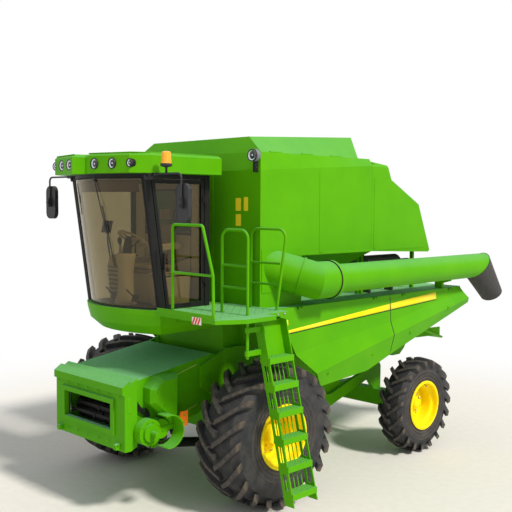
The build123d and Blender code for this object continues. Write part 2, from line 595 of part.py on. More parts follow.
barrel_end = 0.67 * lift_run.length
with BuildPart() as lift_barrels:
    for x in (-LIFT_X, LIFT_X):
        bar(lift_point(0, x), lift_point(barrel_end, x), LIFT_BARREL_RADIUS)
        bar((x - LIFT_BARREL_RADIUS + 2, LIFT_BASE_Y, LIFT_BASE_Z),
            (x + LIFT_BARREL_RADIUS - 2, LIFT_BASE_Y, LIFT_BASE_Z), 50)
        bar((x - LIFT_BARREL_RADIUS - 9, LIFT_BASE_Y, LIFT_BASE_Z),
            (x + LIFT_BARREL_RADIUS + 9, LIFT_BASE_Y, LIFT_BASE_Z),
            LIFT_PIN_RADIUS + RUNNING_FIT, mode=Mode.SUBTRACT)
        bar(lift_point(90, x), lift_point(barrel_end + 5, x), LIFT_ROD_RADIUS + RUNNING_FIT,
            mode=Mode.SUBTRACT)
with BuildPart() as lift_rods:
    for x in (-LIFT_X, LIFT_X):
        bar(lift_point(318, x), lift_point(lift_run.length - 50, x), LIFT_ROD_RADIUS)
        bar((x - 30, LIFT_EYE_Y, LIFT_EYE_Z), (x + 30, LIFT_EYE_Y, LIFT_EYE_Z), 66)
        bar((x - 31, LIFT_EYE_Y, LIFT_EYE_Z), (x + 31, LIFT_EYE_Y, LIFT_EYE_Z),
            LIFT_PIN_RADIUS + LIFT_EYE_DRIFT, mode=Mode.SUBTRACT)


def windscreen_y(x, z):
    """Where the bowed and raked windscreen stands at a place across and a height."""
    rake = (CAB_FRONT_HEAD_Y - CAB_FRONT_FOOT_Y) / (CAB_TOP_Z - CAB_FLOOR_Z)
    bow = WINDSCREEN_BOW * (1 - (x / CAB_HALF) ** 2)
    return CAB_FRONT_FOOT_Y + rake * (z - CAB_FLOOR_Z) - bow


def bowed_strip(z, half, proud, depth):
    """A plan section at a height, from a line proud of the windscreen to one behind it."""
    with BuildSketch(Plane.XY.offset(z)) as strip:
        with BuildLine():
            edge = windscreen_y(half, z)
            middle = windscreen_y(0, z)
            ThreePointArc((-half, edge - proud), (0, middle - proud), (half, edge - proud))
            Line((half, edge - proud), (half, edge + depth))
            ThreePointArc((half, edge + depth), (0, middle + depth), (-half, edge + depth))
            Line((-half, edge + depth), (-half, edge - proud))
        make_face()
    return strip.sketch


def bowed_plan(z, half, proud, rear):
    """A plan section at a height, from a line proud of the windscreen back to a straight rear."""
    with BuildSketch(Plane.XY.offset(z)) as plan:
        with BuildLine():
            edge = windscreen_y(half, z)
            ThreePointArc((-half, edge - proud), (0, windscreen_y(0, z) - proud),
                          (half, edge - proud))
            Polyline((half, edge - proud), (half, rear), (-half, rear), (-half, edge - proud))
        make_face()
    return plan.sketch


# Cab base: the floor and the lower shell. Its front is a rounded apron under the windscreen.
apron = 60
base_rear = BODY_FRONT_Y - 60
with BuildPart() as cab_base:
    loft([bowed_plan(CAB_FLOOR_Z - 60, CAB_HALF, apron, base_rear),
          bowed_plan(CAB_FLOOR_Z, CAB_HALF, apron, base_rear)])
    loft([bowed_plan(CAB_FLOOR_Z - 320, CAB_HALF - 120, apron - 150, base_rear),
          bowed_plan(CAB_FLOOR_Z - 200, CAB_HALF - 30, apron - 20, base_rear)])
    loft([bowed_plan(CAB_FLOOR_Z - 200, CAB_HALF - 30, apron - 20, base_rear),
          bowed_plan(CAB_FLOOR_Z - 60, CAB_HALF, apron, base_rear)])
    for side in (-1, 1):
        block(side * 560 - 60, side * 560 + 60, BODY_FRONT_Y - 60, BODY_FRONT_Y, 2180, 2400)

# Cab frame: raked front posts, upright rear posts, the rails that join them over the glass
# and the lugs and pins of the door's two hinges.
rake_run = CAB_FRONT_HEAD_Y - CAB_FRONT_FOOT_Y
post_rear = CAB_REAR_Y - 80
hinge_x = CAB_HALF + 16
hinge_y = post_rear - 6
cab_height = CAB_TOP_Z - CAB_FLOOR_Z
hinge_heights = (CAB_FLOOR_Z + 0.21 * cab_height, CAB_TOP_Z - 0.18 * cab_height)
with BuildPart() as cab_frame:
    for side in (-1, 1):
        inner = min(side * CAB_HALF, side * (CAB_HALF - POST))
        outer = max(side * CAB_HALF, side * (CAB_HALF - POST))
        side_slab([(CAB_FRONT_FOOT_Y - 45, CAB_FLOOR_Z), (CAB_FRONT_FOOT_Y + 35, CAB_FLOOR_Z),
                   (CAB_FRONT_HEAD_Y + 35, CAB_TOP_Z), (CAB_FRONT_HEAD_Y - 45, CAB_TOP_Z)],
                  inner, outer)
        block(inner, outer, post_rear, CAB_REAR_Y, CAB_FLOOR_Z, CAB_TOP_Z)
        block(inner, outer, CAB_FRONT_HEAD_Y, CAB_REAR_Y, CAB_TOP_Z - HEAD_RAIL, CAB_TOP_Z)
    block(-CAB_HALF, CAB_HALF, CAB_REAR_Y - POST, CAB_REAR_Y, CAB_TOP_Z - HEAD_RAIL, CAB_TOP_Z)
    loft([bowed_strip(CAB_TOP_Z - HEAD_RAIL, CAB_HALF - POST, 0, HEAD_RAIL),
          bowed_strip(CAB_TOP_Z, CAB_HALF - POST, 0, HEAD_RAIL)])
    for z in hinge_heights:
        for low in (z - 70, z + 40 + RUNNING_FIT):
            block(CAB_HALF - 10, hinge_x + 12, hinge_y + 2, post_rear + 30, low, low + 30)
            bar((hinge_x, hinge_y, low), (hinge_x, hinge_y, low + 30), 14)
        bar((hinge_x, hinge_y, z - 50), (hinge_x, hinge_y, z + 60), 8)

# Windscreen: one bowed pane between the front posts.
screen_half = CAB_HALF - POST
with BuildPart() as windscreen:
    loft([bowed_strip(CAB_FLOOR_Z, screen_half, 0, GLASS),
          bowed_strip(CAB_TOP_Z - HEAD_RAIL, screen_half, 0, GLASS)])

# Rear wall of the cab, with its window, and the fixed panes of the right side and the rear.
window_half = CAB_HALF - 310
window_low = CAB_FLOOR_Z + 0.56 * cab_height
window_high = CAB_TOP_Z - 190
wall_sheet = 30
with BuildPart() as cab_rear_wall:
    block(-CAB_HALF + POST, CAB_HALF - POST, CAB_REAR_Y - 10 - wall_sheet, CAB_REAR_Y - 10,
          CAB_FLOOR_Z, CAB_TOP_Z - HEAD_RAIL)
    block(-window_half, window_half, CAB_REAR_Y - 50, CAB_REAR_Y, window_low, window_high,
          mode=Mode.SUBTRACT)
door_head_z = CAB_TOP_Z - HEAD_RAIL
with BuildPart() as cab_glass:
    block(-window_half, window_half, CAB_REAR_Y - 21 - GLASS, CAB_REAR_Y - 21, window_low,
          window_high)
    side_slab([(CAB_FRONT_FOOT_Y + 35, CAB_FLOOR_Z), (post_rear, CAB_FLOOR_Z),
               (post_rear, door_head_z),
               (CAB_FRONT_HEAD_Y + 35 - rake_run * HEAD_RAIL / cab_height, door_head_z)],
              -CAB_HALF + 20, -CAB_HALF + 20 + GLASS)


def door_outline(inset):
    """The door's outline, moved in from its opening."""
    low = CAB_FLOOR_Z + inset
    high = door_head_z - inset
    slope = rake_run / cab_height
    front = CAB_FRONT_FOOT_Y + 35 + inset
    return [(front + slope * (low - CAB_FLOOR_Z), low), (post_rear - inset, low),
            (post_rear - inset, high), (front + slope * (high - CAB_FLOOR_Z), high)]


# Cab door: a slim frame with one pane, hung on two hinges at its rear edge.
with BuildPart() as cab_door:
    side_slab(door_outline(PASSING_GAP), CAB_HALF - DOOR_SHEET, CAB_HALF)
    side_slab(door_outline(PASSING_GAP + 48), CAB_HALF - DOOR_SHEET, CAB_HALF, mode=Mode.SUBTRACT)
    for z in hinge_heights:
        block(CAB_HALF - 10, hinge_x, hinge_y - 40, hinge_y - 6, z - 40, z + 40)
        bar((hinge_x, hinge_y, z - 40), (hinge_x, hinge_y, z + 40), 14)
        bar((hinge_x, hinge_y, z - 41), (hinge_x, hinge_y, z + 41), 8 + RUNNING_FIT,
            mode=Mode.SUBTRACT)
    handle_z = CAB_FLOOR_Z + 0.3 * cab_height
    handle_y = CAB_FRONT_FOOT_Y + 68 + rake_run * (handle_z - CAB_FLOOR_Z) / cab_height
    for z in (handle_z, handle_z + 180):
        block(CAB_HALF, CAB_HALF + 30, handle_y - 14, handle_y, z, z + 20)
    block(CAB_HALF + 18, CAB_HALF + 34, handle_y - 16, handle_y + 2, handle_z, handle_z + 200)
with BuildPart() as door_glass:
    side_slab(door_outline(PASSING_GAP + 48), CAB_HALF - 22, CAB_HALF - 22 + GLASS)

# Roof: a moulded cap with two forward lobes that hold the work lamps.
lobe_inner_x = 160
lobe_outer_x = 800
roof_front_y = CAB_FRONT_HEAD_Y - 430
lobe_sweep = 150
roof_plan = [(0, roof_front_y + 170), (110, roof_front_y + 150), (lobe_inner_x, roof_front_y),
             (lobe_outer_x, roof_front_y + lobe_sweep), (ROOF_HALF, roof_front_y + 370),
             (ROOF_HALF, CAB_REAR_Y + 50)]
lamp_z = CAB_TOP_Z + LAMP_RISE
# Columns: distance from the middle, radius of the lamp
roof_lamps = ((270, 66), (540, 66), (lobe_outer_x, 50))


def lobe_y(x):
    """The front of the roof's lobe at a distance from the middle."""
    return roof_front_y + (x - lobe_inner_x) * lobe_sweep / (lobe_outer_x - lobe_inner_x)


with BuildPart() as cab_roof:
    plan_slab(roof_plan + [(-x, y) for x, y in reversed(roof_plan)][:-1], CAB_TOP_Z,
              CAB_TOP_Z + ROOF_DEPTH)
    chamfer(cab_roof.edges().group_by(Axis.Z)[-1], 36)
    for side in (-1, 1):
        for x, radius in roof_lamps:
            bar((side * x, lobe_y(x) - 40, lamp_z), (side * x, lobe_y(x) + 60, lamp_z), radius + 2,
                mode=Mode.SUBTRACT)

# Work lamps: round lamps in the roof's front, and one on a bracket at the tank's front corner.
corner_x = TANK_HALF - 60
corner_lamp_z = TANK_SHOULDER_FRONT_Z + 180
with BuildPart() as work_lamps:
    for side in (-1, 1):
        for x, radius in roof_lamps:
            bar((side * x, lobe_y(x) + 8, lamp_z), (side * x, lobe_y(x) + 60, lamp_z), radius)
        bar((side * corner_x, TANK_FRONT_Y - 88, corner_lamp_z),
            (side * corner_x, TANK_FRONT_Y - 30, corner_lamp_z), 78)
        block(side * corner_x - 15, side * corner_x + 15, TANK_FRONT_Y - 60, TANK_FRONT_Y,
              TANK_SHOULDER_FRONT_Z - 30, corner_lamp_z)

# Mirrors on bent arms from the roof's front corners, and the beacon on the left arm.
arm_tube = 12
arm_line_y = CAB_FRONT_HEAD_Y
arm_line_z = CAB_TOP_Z - arm_tube
mirror_x = CAB_HALF + 620
mirror_z = CAB_TOP_Z - 350
beacon_x = ROOF_HALF + 180
beacon_base_z = CAB_TOP_Z + 65
with BuildPart() as beacon:
    bar((beacon_x, arm_line_y, CAB_TOP_Z), (beacon_x, arm_line_y, beacon_base_z), arm_tube)
    bar((beacon_x, arm_line_y, beacon_base_z), (beacon_x, arm_line_y, beacon_base_z + 40), 68)
    with BuildSketch(Plane.XY.offset(beacon_base_z + 40)) as dome:
        with Locations((beacon_x, arm_line_y)):
            Circle(60)
    extrude(dome.sketch, amount=140, taper=6)
with BuildPart() as mirrors:
    for side in (-1, 1):
        rail([(side * (CAB_HALF + 60), arm_line_y, arm_line_z),
              (side * mirror_x, arm_line_y, arm_line_z),
              (side * mirror_x, arm_line_y, mirror_z - 10)], 60, arm_tube)
        block(min(side * CAB_HALF, side * (CAB_HALF + 120)),
              max(side * CAB_HALF, side * (CAB_HALF + 120)), arm_line_y - 40, arm_line_y + 50,
              arm_line_z - 20, CAB_TOP_Z)
        with BuildSketch(Plane.XZ.offset(-(arm_line_y + 12))) as head:
            with Locations((side * mirror_x, mirror_z)):
                RectangleRounded(225, 440, 80)
        extrude(head.sketch, amount=-45)

# Driver's seat on its box, the console beside it and the steering wheel on its column.
seat_rear_y = CAB_REAR_Y - 90
seat_z = CAB_FLOOR_Z + 0.23 * cab_height
pad_z = seat_z + 130
back_z = CAB_FLOOR_Z + 0.642 * cab_height
headrest_z = CAB_FLOOR_Z + 0.752 * cab_height
with BuildPart() as seat_base:
    block(-210, 210, seat_rear_y - 370, seat_rear_y, CAB_FLOOR_Z, seat_z)
with BuildPart() as seat_pads:
    block(-245, 245, seat_rear_y - 460, seat_rear_y, seat_z + RUNNING_FIT, pad_z)
    side_slab([(seat_rear_y - 90, pad_z + RUNNING_FIT), (seat_rear_y + 5, pad_z + RUNNING_FIT),
               (seat_rear_y + 40, back_z), (seat_rear_y - 30, back_z)], -235, 235)
    side_slab([(seat_rear_y - 22, back_z + RUNNING_FIT), (seat_rear_y + 30, back_z + RUNNING_FIT),
               (seat_rear_y + 40, headrest_z), (seat_rear_y - 10, headrest_z)], -140, 140)
console_z = CAB_FLOOR_Z + 0.37 * cab_height
with BuildPart() as console:
    side_slab([(-1000, console_z - 150), (-960, CAB_FLOOR_Z), (-560, CAB_FLOOR_Z),
               (-480, console_z - 50), (-960, console_z)], -560, -300)
    block(-450, -420, -900, -870, console_z - 30, console_z + 120)
column_y = CAB_FRONT_FOOT_Y
wheel_centre = Vector(0, column_y + 110, CAB_FLOOR_Z + 0.503 * cab_height)
wheel_plane = Plane(origin=wheel_centre, x_dir=(1, 0, 0), z_dir=(0, 0.5, 0.87))
with BuildPart() as steering:
    bar((0, column_y, CAB_FLOOR_Z), (0, column_y, CAB_FLOOR_Z + 60), 90)
    bar((0, column_y, CAB_FLOOR_Z + 40), tuple(wheel_centre), 42)
    with BuildSketch(wheel_plane) as rim_ring:
        Circle(205)
        Circle(178, mode=Mode.SUBTRACT)
        for angle in (0, 120, 240):
            with Locations(Rot(0, 0, angle) * Pos(95, 0)):
                Rectangle(190, 26)
    extrude(rim_ring.sketch, amount=24)

# Platform: the deck outside the door and the shelf on the right of the cab.
platform_low = CAB_FLOOR_Z - PLATFORM_SHEET
with BuildPart() as platform:
    plan_slab([(CAB_HALF, PLATFORM_FRONT_Y), (PLATFORM_OUTER_X, PLATFORM_FRONT_Y),
               (LANDING_OUTER_X, HINGE_POST[1] - 230), (LANDING_OUTER_X, LADDER_FRONT_Y + 30),
               (PLATFORM_OUTER_X, LADDER_FRONT_Y + 30), (PLATFORM_OUTER_X, TANK_FRONT_Y - 4),
               (CAB_HALF, TANK_FRONT_Y - 4)], platform_low, CAB_FLOOR_Z)
    bar((*HINGE_POST, platform_low - 1), (*HINGE_POST, CAB_FLOOR_Z + 1), RAIL_RADIUS + WALL_FIT,
        mode=Mode.SUBTRACT)
    block(-CAB_HALF - 340, -CAB_HALF, TANK_FRONT_Y - 300, TANK_FRONT_Y - 4, platform_low,
          CAB_FLOOR_Z)
    for side, y in ((1, PLATFORM_FRONT_Y + 350), (1, TANK_FRONT_Y - 260), (-1, TANK_FRONT_Y - 260)):
        inner = side * (CAB_HALF + 2)
        outer = inner + side * 310
        front_slab([(inner, platform_low - 120), (inner, platform_low), (outer, platform_low),
                    (outer, platform_low - 30)], y, y + 30)

# Handrails: three hoops of bent tube with cross rungs. The outer leg of the middle hoop runs
# down past the deck, and the ladder swings on it.
rail_y = PLATFORM_FRONT_Y + 32
foot_z = CAB_FLOOR_Z + 5
rear_rail_y = TANK_FRONT_Y - 50
post_inner_x = HINGE_POST[0] - 440
with BuildPart() as handrails:
    rail([(1070, rail_y, foot_z), (1070, rail_y, RAIL_TOP_Z), (1600, rail_y, RAIL_TOP_Z),
          (1780, rail_y, 2990), (1790, rail_y, foot_z)], 45)
    bar((1070, rail_y, 2990), (1780, rail_y, 2990), RAIL_RADIUS - 2)
    rail([(post_inner_x, HINGE_POST[1], foot_z), (post_inner_x, HINGE_POST[1], RAIL_TOP_Z - 60),
          (*HINGE_POST, RAIL_TOP_Z - 60), (*HINGE_POST, HINGE_POST_FOOT_Z)], 110)
    rail([(1235, rear_rail_y, foot_z), (1245, rear_rail_y, RAIL_TOP_Z - 60),
          (1850, rear_rail_y, RAIL_TOP_Z - 60), (1690, rear_rail_y, foot_z)], 110)
    for x, y in ((1070, rail_y), (1790, rail_y), (post_inner_x, HINGE_POST[1]),
                 (1235, rear_rail_y), (1690, rear_rail_y)):
        bar((x, y, CAB_FLOOR_Z), (x, y, CAB_FLOOR_Z + 8), 30)
    for z in (2810, 3070):
        bar((post_inner_x, HINGE_POST[1], z), (*HINGE_POST, z), RAIL_RADIUS - 3)
        bar((1240, rear_rail_y, z), (1735, rear_rail_y, z), RAIL_RADIUS - 3)

# Ladder: two stringers of bent plate with windows, an upper kick plate and six box steps.
# Two sleeves at its front edge turn on the rail's lower end.
kick_plate = 420
step_pitch = (LADDER_TOP_Z - kick_plate - LADDER_FOOT_Z) / (LADDER_STEPS - 0.5)
lean = (LADDER_FOOT_X - LADDER_TOP_X) / (LADDER_TOP_Z - LADDER_FOOT_Z)


def ladder_x(z):
    """The inner edge of the leaning ladder at a height."""
    return LADDER_TOP_X + lean * (LADDER_TOP_Z - z)


with BuildPart() as ladder:
    band = [(LADDER_TOP_X, LADDER_TOP_Z), (LADDER_TOP_X + LADDER_DEPTH, LADDER_TOP_Z),
            (LADDER_FOOT_X + LADDER_DEPTH, LADDER_FOOT_Z), (LADDER_FOOT_X, LADDER_FOOT_Z)]
    for y in (LADDER_FRONT_Y, LADDER_REAR_Y - LADDER_SHEET):
        front_slab(band, y, y + LADDER_SHEET)
    top_step = LADDER_TOP_Z - kick_plate
    front_slab([(ladder_x(LADDER_TOP_Z), LADDER_TOP_Z), (ladder_x(LADDER_TOP_Z) + 30, LADDER_TOP_Z),
                (ladder_x(top_step) + 30, top_step), (ladder_x(top_step), top_step)],
               LADDER_FRONT_Y, LADDER_REAR_Y)
    for i in range(LADDER_STEPS):
        z = top_step - i * step_pitch
        x = ladder_x(z) + 4
        block(x, x + LADDER_DEPTH + 20, LADDER_FRONT_Y, LADDER_REAR_Y, z - 70, z)
        block(x + 12, x + LADDER_DEPTH + 8, LADDER_FRONT_Y + 20, LADDER_REAR_Y - 20, z - 71,
              z - 12, mode=Mode.SUBTRACT)
        low = z - step_pitch + 25
        if i < LADDER_STEPS - 1:
            for y in (LADDER_FRONT_Y, LADDER_REAR_Y - LADDER_SHEET):
                front_slab([(ladder_x(z - 95) + 34, z - 95),
                            (ladder_x(z - 95) + LADDER_DEPTH - 34, z - 95),
                            (ladder_x(low) + LADDER_DEPTH - 34, low), (ladder_x(low) + 34, low)],
                           y - 1, y + LADDER_SHEET + 1, mode=Mode.SUBTRACT)
            riser_pitch = (LADDER_REAR_Y - LADDER_FRONT_Y - LADDER_SHEET) / 6
            for k in range(1, 6):
                y = LADDER_FRONT_Y + k * riser_pitch
                front_slab([(ladder_x(z - 65), z - 65), (ladder_x(z - 65) + 6, z - 65),
                            (ladder_x(z - step_pitch) + 6, z - step_pitch - 5),
                            (ladder_x(z - step_pitch), z - step_pitch - 5)], y, y + LADDER_SHEET)
    for z in (HINGE_POST_FOOT_Z + 30, LADDER_TOP_Z - 110):
        block(HINGE_POST[0] - 15, HINGE_POST[0] + 15, HINGE_POST[1] + RAIL_RADIUS + 8,
              LADDER_FRONT_Y + 4, z, z + 60)
        block(LADDER_TOP_X + 30, HINGE_POST[0] + 15, LADDER_FRONT_Y - 6, LADDER_FRONT_Y + 4, z,
              z + 60)
        bar((*HINGE_POST, z), (*HINGE_POST, z + 60), RAIL_RADIUS + 14)
        bar((*HINGE_POST, z - 1), (*HINGE_POST, z + 61), RAIL_RADIUS + RUNNING_FIT,
            mode=Mode.SUBTRACT)


def tank_form(sheet):
    """The tank's closed form, or with a sheet's thickness taken off, the room inside it."""
    half = TANK_HALF - sheet
    front = TANK_FRONT_Y + sheet
    rear = TANK_REAR_Y - sheet
    sump = 420 - sheet
    lean = TANK_RIM_INSET
    with BuildPart() as form:
        with BuildSketch(Plane.XY.offset(DECK_Z + sheet)) as floor:
            with Locations((0, 875)):
                Rectangle(2 * sump, 1250 - 2 * sheet)
        with BuildSketch(Plane.XY.offset(TANK_SKIRT_Z)) as brim:
            with Locations((0, (front + rear) / 2)):
                Rectangle(2 * half, rear - front)
        loft([floor.sketch, brim.sketch])
        extrude(brim.sketch, amount=TANK_RIM_Z - TANK_SKIRT_Z)
        for side in (-1, 1):
            sections = []
            for y, crease in ((front - 1, TANK_SHOULDER_FRONT_Z), (rear + 1, TANK_SHOULDER_REAR_Z)):
                with BuildSketch(Plane.XZ.offset(-y)) as section:
                    with BuildLine():
                        Polyline((side * half, crease), (side * (half + 5), crease),
                                 (side * (half + 5), TANK_RIM_Z + 1),
                                 (side * (half - lean), TANK_RIM_Z + 1), close=True)
                    make_face()
                sections.append(section.sketch)
            loft(sections, ruled=True, mode=Mode.SUBTRACT)
        side_slab([(front - 1, TANK_SHOULDER_FRONT_Z), (front - 1, TANK_RIM_Z + 1),
                   (front + lean, TANK_RIM_Z + 1), (front, TANK_SHOULDER_FRONT_Z)],
                  -half - 1, half + 1, mode=Mode.SUBTRACT)
    return form.part


# Grain tank: an open hopper of sheet metal. Its shoulders and its front lean in above a crease.
# The front wall and the front of its sides run down to the deck, where the unloading elbow
# comes out, and two legs carry its rear.
elbow_run = Vector(*ELBOW_CORNER) - Vector(*ELBOW_START)
elbow_dir = elbow_run.normalized()


def elbow_point(distance):
    """The point on the elbow's axis at a distance from its start in the tank."""
    return tuple(Vector(*ELBOW_START) + elbow_dir * distance)


tank_outside = tank_form(0)
tank_room = tank_form(TANK_SHEET)
with BuildPart() as grain_tank:
    add(tank_outside)
    add(tank_room, mode=Mode.SUBTRACT)
    block(-TANK_HALF + TANK_RIM_INSET, TANK_HALF - TANK_RIM_INSET,
          TANK_FRONT_Y + TANK_RIM_INSET + TANK_SHEET, TANK_REAR_Y - TANK_SHEET,
          TANK_RIM_Z - 1, TANK_RIM_Z + 1, mode=Mode.SUBTRACT)
    block(-TANK_HALF, TANK_HALF, TANK_FRONT_Y, TANK_FRONT_Y + TANK_SHEET, DECK_Z, TANK_SKIRT_Z)
    for side in (-1, 1):
        inner = min(side * TANK_HALF, side * (TANK_HALF - TANK_SHEET))
        outer = max(side * TANK_HALF, side * (TANK_HALF - TANK_SHEET))
        block(inner, outer, TANK_FRONT_Y, 740, DECK_Z, TANK_SKIRT_Z)
        foot = side * LEG_X
        block(foot - 25, foot + 25, TANK_REAR_Y - TANK_SHEET, TANK_REAR_Y, DECK_Z,
              TANK_SKIRT_Z + 5)
    bar(elbow_point(-8), elbow_point(500), ELBOW_RADIUS + SEAM + 1, mode=Mode.SUBTRACT)

# Tank extension: four flaps that lean in above the rim, open on top.
extension_rise = EXTENSION_REAR_Z - EXTENSION_FRONT_Z


def extension_form(sheet, mode=Mode.ADD):
    """The closed form of the leaning flaps, or with a sheet taken off, the mouth inside."""
    low_half = TANK_HALF - TANK_RIM_INSET - 4 - sheet
    low_front = TANK_FRONT_Y + TANK_RIM_INSET + 4 + sheet
    low_rear = TANK_REAR_Y - 260 - sheet
    high_front = low_front + 90
    high_rear = TANK_REAR_Y - 50 - sheet
    length = high_rear - high_front
    with BuildSketch(Plane.XY.offset(TANK_RIM_Z)) as low:
        with Locations((0, (low_front + low_rear) / 2)):
            Rectangle(2 * low_half, low_rear - low_front)
    middle_z = (EXTENSION_FRONT_Z + EXTENSION_REAR_Z) / 2
    tilted = Plane(origin=(0, (high_front + high_rear) / 2, middle_z), x_dir=(1, 0, 0),
                   z_dir=(0, -extension_rise, length))
    with BuildSketch(tilted) as high:
        Rectangle(2 * (low_half - EXTENSION_INSET), hypot(length, extension_rise))
    loft([low.sketch, high.sketch], ruled=True, mode=mode)


with BuildPart() as tank_extension:
    extension_form(0)
    extension_form(TANK_SHEET, mode=Mode.SUBTRACT)

# Augers in the tank: the filling auger's leaning tube with its cap, and the ridged covers over
# the two cross augers on the hopper's floor.
with BuildPart() as tank_augers:
    bar((-262, 390, 2600), (-60, 900, 4300), 120)
    block(-290, -230, 360, 420, DECK_Z + TANK_SHEET, 2620)
    bar((-60, 900, 4300), (-35, 960, 4500), 150)
    for y in (650, 1150):
        side_slab([(y - 160, 2600), (y, 2740), (y + 160, 2600)], -330, 330)
    for y in (650, 1150):
        block(-20, 20, y - 20, y + 20, DECK_Z + TANK_SHEET, 2620)

# Engine: one plain block at its place behind the tank.
engine_y = TANK_REAR_Y + 170
with BuildPart() as engine_block:
    block(-ENGINE_HALF, ENGINE_HALF, engine_y, engine_y + 880, DECK_Z, DECK_Z + 820)

# Exhaust silencer under the hood's left edge, on two straps, with its tail pipe to the rear.
silencer_x = TANK_HALF - 270
silencer_y = TANK_REAR_Y + 130
silencer_z = DECK_Z + 420
with BuildPart() as exhaust:
    bar((silencer_x, silencer_y, silencer_z), (silencer_x, silencer_y + 820, silencer_z), 135)
    bar((silencer_x, silencer_y + 820, silencer_z), (silencer_x, silencer_y + 1180, silencer_z), 55)
    for y in (silencer_y + 100, silencer_y + 660):
        block(silencer_x - 70, silencer_x + 70, y, y + 40, DECK_Z, silencer_z - 100)

# Engine hood: the long rear shell behind the tank, stepped down to the rear, on four legs. Its
# right side has the boss that carries the rotary screen.
hood_front_y = TANK_REAR_Y + SEAM
hood_top = [(hood_front_y, 4415), (TANK_REAR_Y + 370, 4370), (TANK_REAR_Y + 470, 4160),
            (HOOD_REAR_Y - 320, 3800), (HOOD_REAR_Y, 3090)]
hood_outline = hood_top + [(HOOD_REAR_Y - 40, 3060), (hood_front_y, TANK_SKIRT_Z)]
with BuildPart() as engine_hood:
    side_slab(hood_outline, -TANK_HALF, TANK_HALF)
    for side in (-1, 1):
        front_slab([(side * TANK_HALF, 4340), (side * (TANK_HALF - 50), 4430),
                    (side * (TANK_HALF + 20), 4430)], hood_front_y - 1, TANK_REAR_Y + 450,
                   mode=Mode.SUBTRACT)
    side_slab([(hood_front_y - 1, 4393), (TANK_REAR_Y + 355, 4348), (TANK_REAR_Y + 455, 4138),
               (HOOD_REAR_Y - 338, 3780), (HOOD_REAR_Y - 26, 3085), (HOOD_REAR_Y - 60, 3000),
               (hood_front_y - 1, 3000)],
              -TANK_HALF + TANK_SHEET, TANK_HALF - TANK_SHEET, mode=Mode.SUBTRACT)
    for side in (-1, 1):
        foot = side * LEG_X
        rib = side * (TANK_HALF - TANK_SHEET)
        for y in (TANK_REAR_Y + 60, HOOD_REAR_Y - 140):
            block(foot - 25, foot + 25, y, y + 50, DECK_Z, TANK_SKIRT_Z + 60)
            block(min(foot, rib), max(foot, rib), y, y + 50, TANK_SKIRT_Z + 10, TANK_SKIRT_Z + 60)
    bar((-TANK_HALF - 6, SCREEN_Y, SCREEN_Z), (-TANK_HALF + 60, SCREEN_Y, SCREEN_Z), 60)
    bar((-TANK_HALF - 7, SCREEN_Y, SCREEN_Z), (-TANK_HALF + 61, SCREEN_Y, SCREEN_Z),
        25 + RUNNING_FIT, mode=Mode.SUBTRACT)

# Rotary screen: the round drum of perforated sheet that cleans the cooling air.
with BuildPart() as rotary_screen:
    bar((-TANK_HALF - PASSING_GAP, SCREEN_Y, SCREEN_Z),
        (-TANK_HALF - PASSING_GAP - 70, SCREEN_Y, SCREEN_Z), SCREEN_RADIUS)
    bar((-TANK_HALF - PASSING_GAP - 60, SCREEN_Y, SCREEN_Z),
        (-TANK_HALF - PASSING_GAP - 90, SCREEN_Y, SCREEN_Z), 0.3 * SCREEN_RADIUS)
    bar((-TANK_HALF - PASSING_GAP - 1, SCREEN_Y, SCREEN_Z),
        (-TANK_HALF + 50, SCREEN_Y, SCREEN_Z), 25)

# Side shields. Each section runs down from the hinge over an upper and a lower crease to the
# turned-in bottom edge. The side outline trims the long skin, and the split parts it in two.
# Columns: y, height of the upper crease, of the lower crease and of the bottom edge
shield_sections = ((0, 1840, 1440, 1100), (SHIELD_SPLIT_Y, 2090, 1910, 1500),
                   (SHIELD_REAR_Y + 60, 2440, 2310, 2120))
# Columns: how far the skin stands outside the shelf at the top, the creases and the bottom
skin_top, skin_upper, skin_lower, skin_bottom = 40, 62, 130, 20
front_outline = [(SHIELD_FRONT_Y, DECK_Z), (420, 1850), (740, 1590), (910, 1380),
                 (SHIELD_SPLIT_Y - 490, 1440), (SHIELD_SPLIT_Y - 4, 1600),
                 (SHIELD_SPLIT_Y - 4, DECK_Z)]
rear_outline = [(SHIELD_SPLIT_Y + 4, DECK_Z), (SHIELD_SPLIT_Y + 4, 1605),
                (SHIELD_REAR_Y - 530, 2050), (SHIELD_REAR_Y, 2210), (SHIELD_REAR_Y - 200, DECK_Z)]
hinge_line_x = SHELF_HALF + 24
hinge_line_z = DECK_Z - 14


def shield_skin(first, last):
    """Adds the skin from one of the sections to the next."""
    faces = []
    for y, upper, lower, bottom in (shield_sections[first], shield_sections[last]):
        outer = [(SHELF_HALF + skin_top, DECK_Z), (SHELF_HALF + skin_upper, upper),
                 (SHELF_HALF + skin_lower, lower), (SHELF_HALF + skin_bottom, bottom)]
        inner = [(x - SHIELD_SHEET, z) for x, z in reversed(outer)]
        with BuildSketch(Plane.XZ.offset(-y)) as section:
            with BuildLine():
                Polyline(*outer, *inner, close=True)
            make_face()
        faces.append(section.sketch)
    loft(faces, ruled=True)


def shield(first, outline, hinges):
    """One left shield, trimmed to its outline, with a knuckle at each hinge."""
    with BuildPart() as panel:
        shield_skin(first, first + 1)
        side_slab(outline, SHELF_HALF - 40, SHELF_HALF + 200, mode=Mode.INTERSECT)
        for y in hinges:
            block(SHELF_HALF, SHELF_HALF + 200, y - 50, y + 50, hinge_line_z - 20, DECK_Z + 1,
                  mode=Mode.SUBTRACT)
            block(hinge_line_x, SHELF_HALF + 50, y - 25, y + 25, hinge_line_z - 26,
                  hinge_line_z)
            bar((hinge_line_x, y - 25, hinge_line_z), (hinge_line_x, y + 25, hinge_line_z), 13)
            bar((hinge_line_x, y - 26, hinge_line_z), (hinge_line_x, y + 26, hinge_line_z),
                7 + RUNNING_FIT, mode=Mode.SUBTRACT)
    return panel


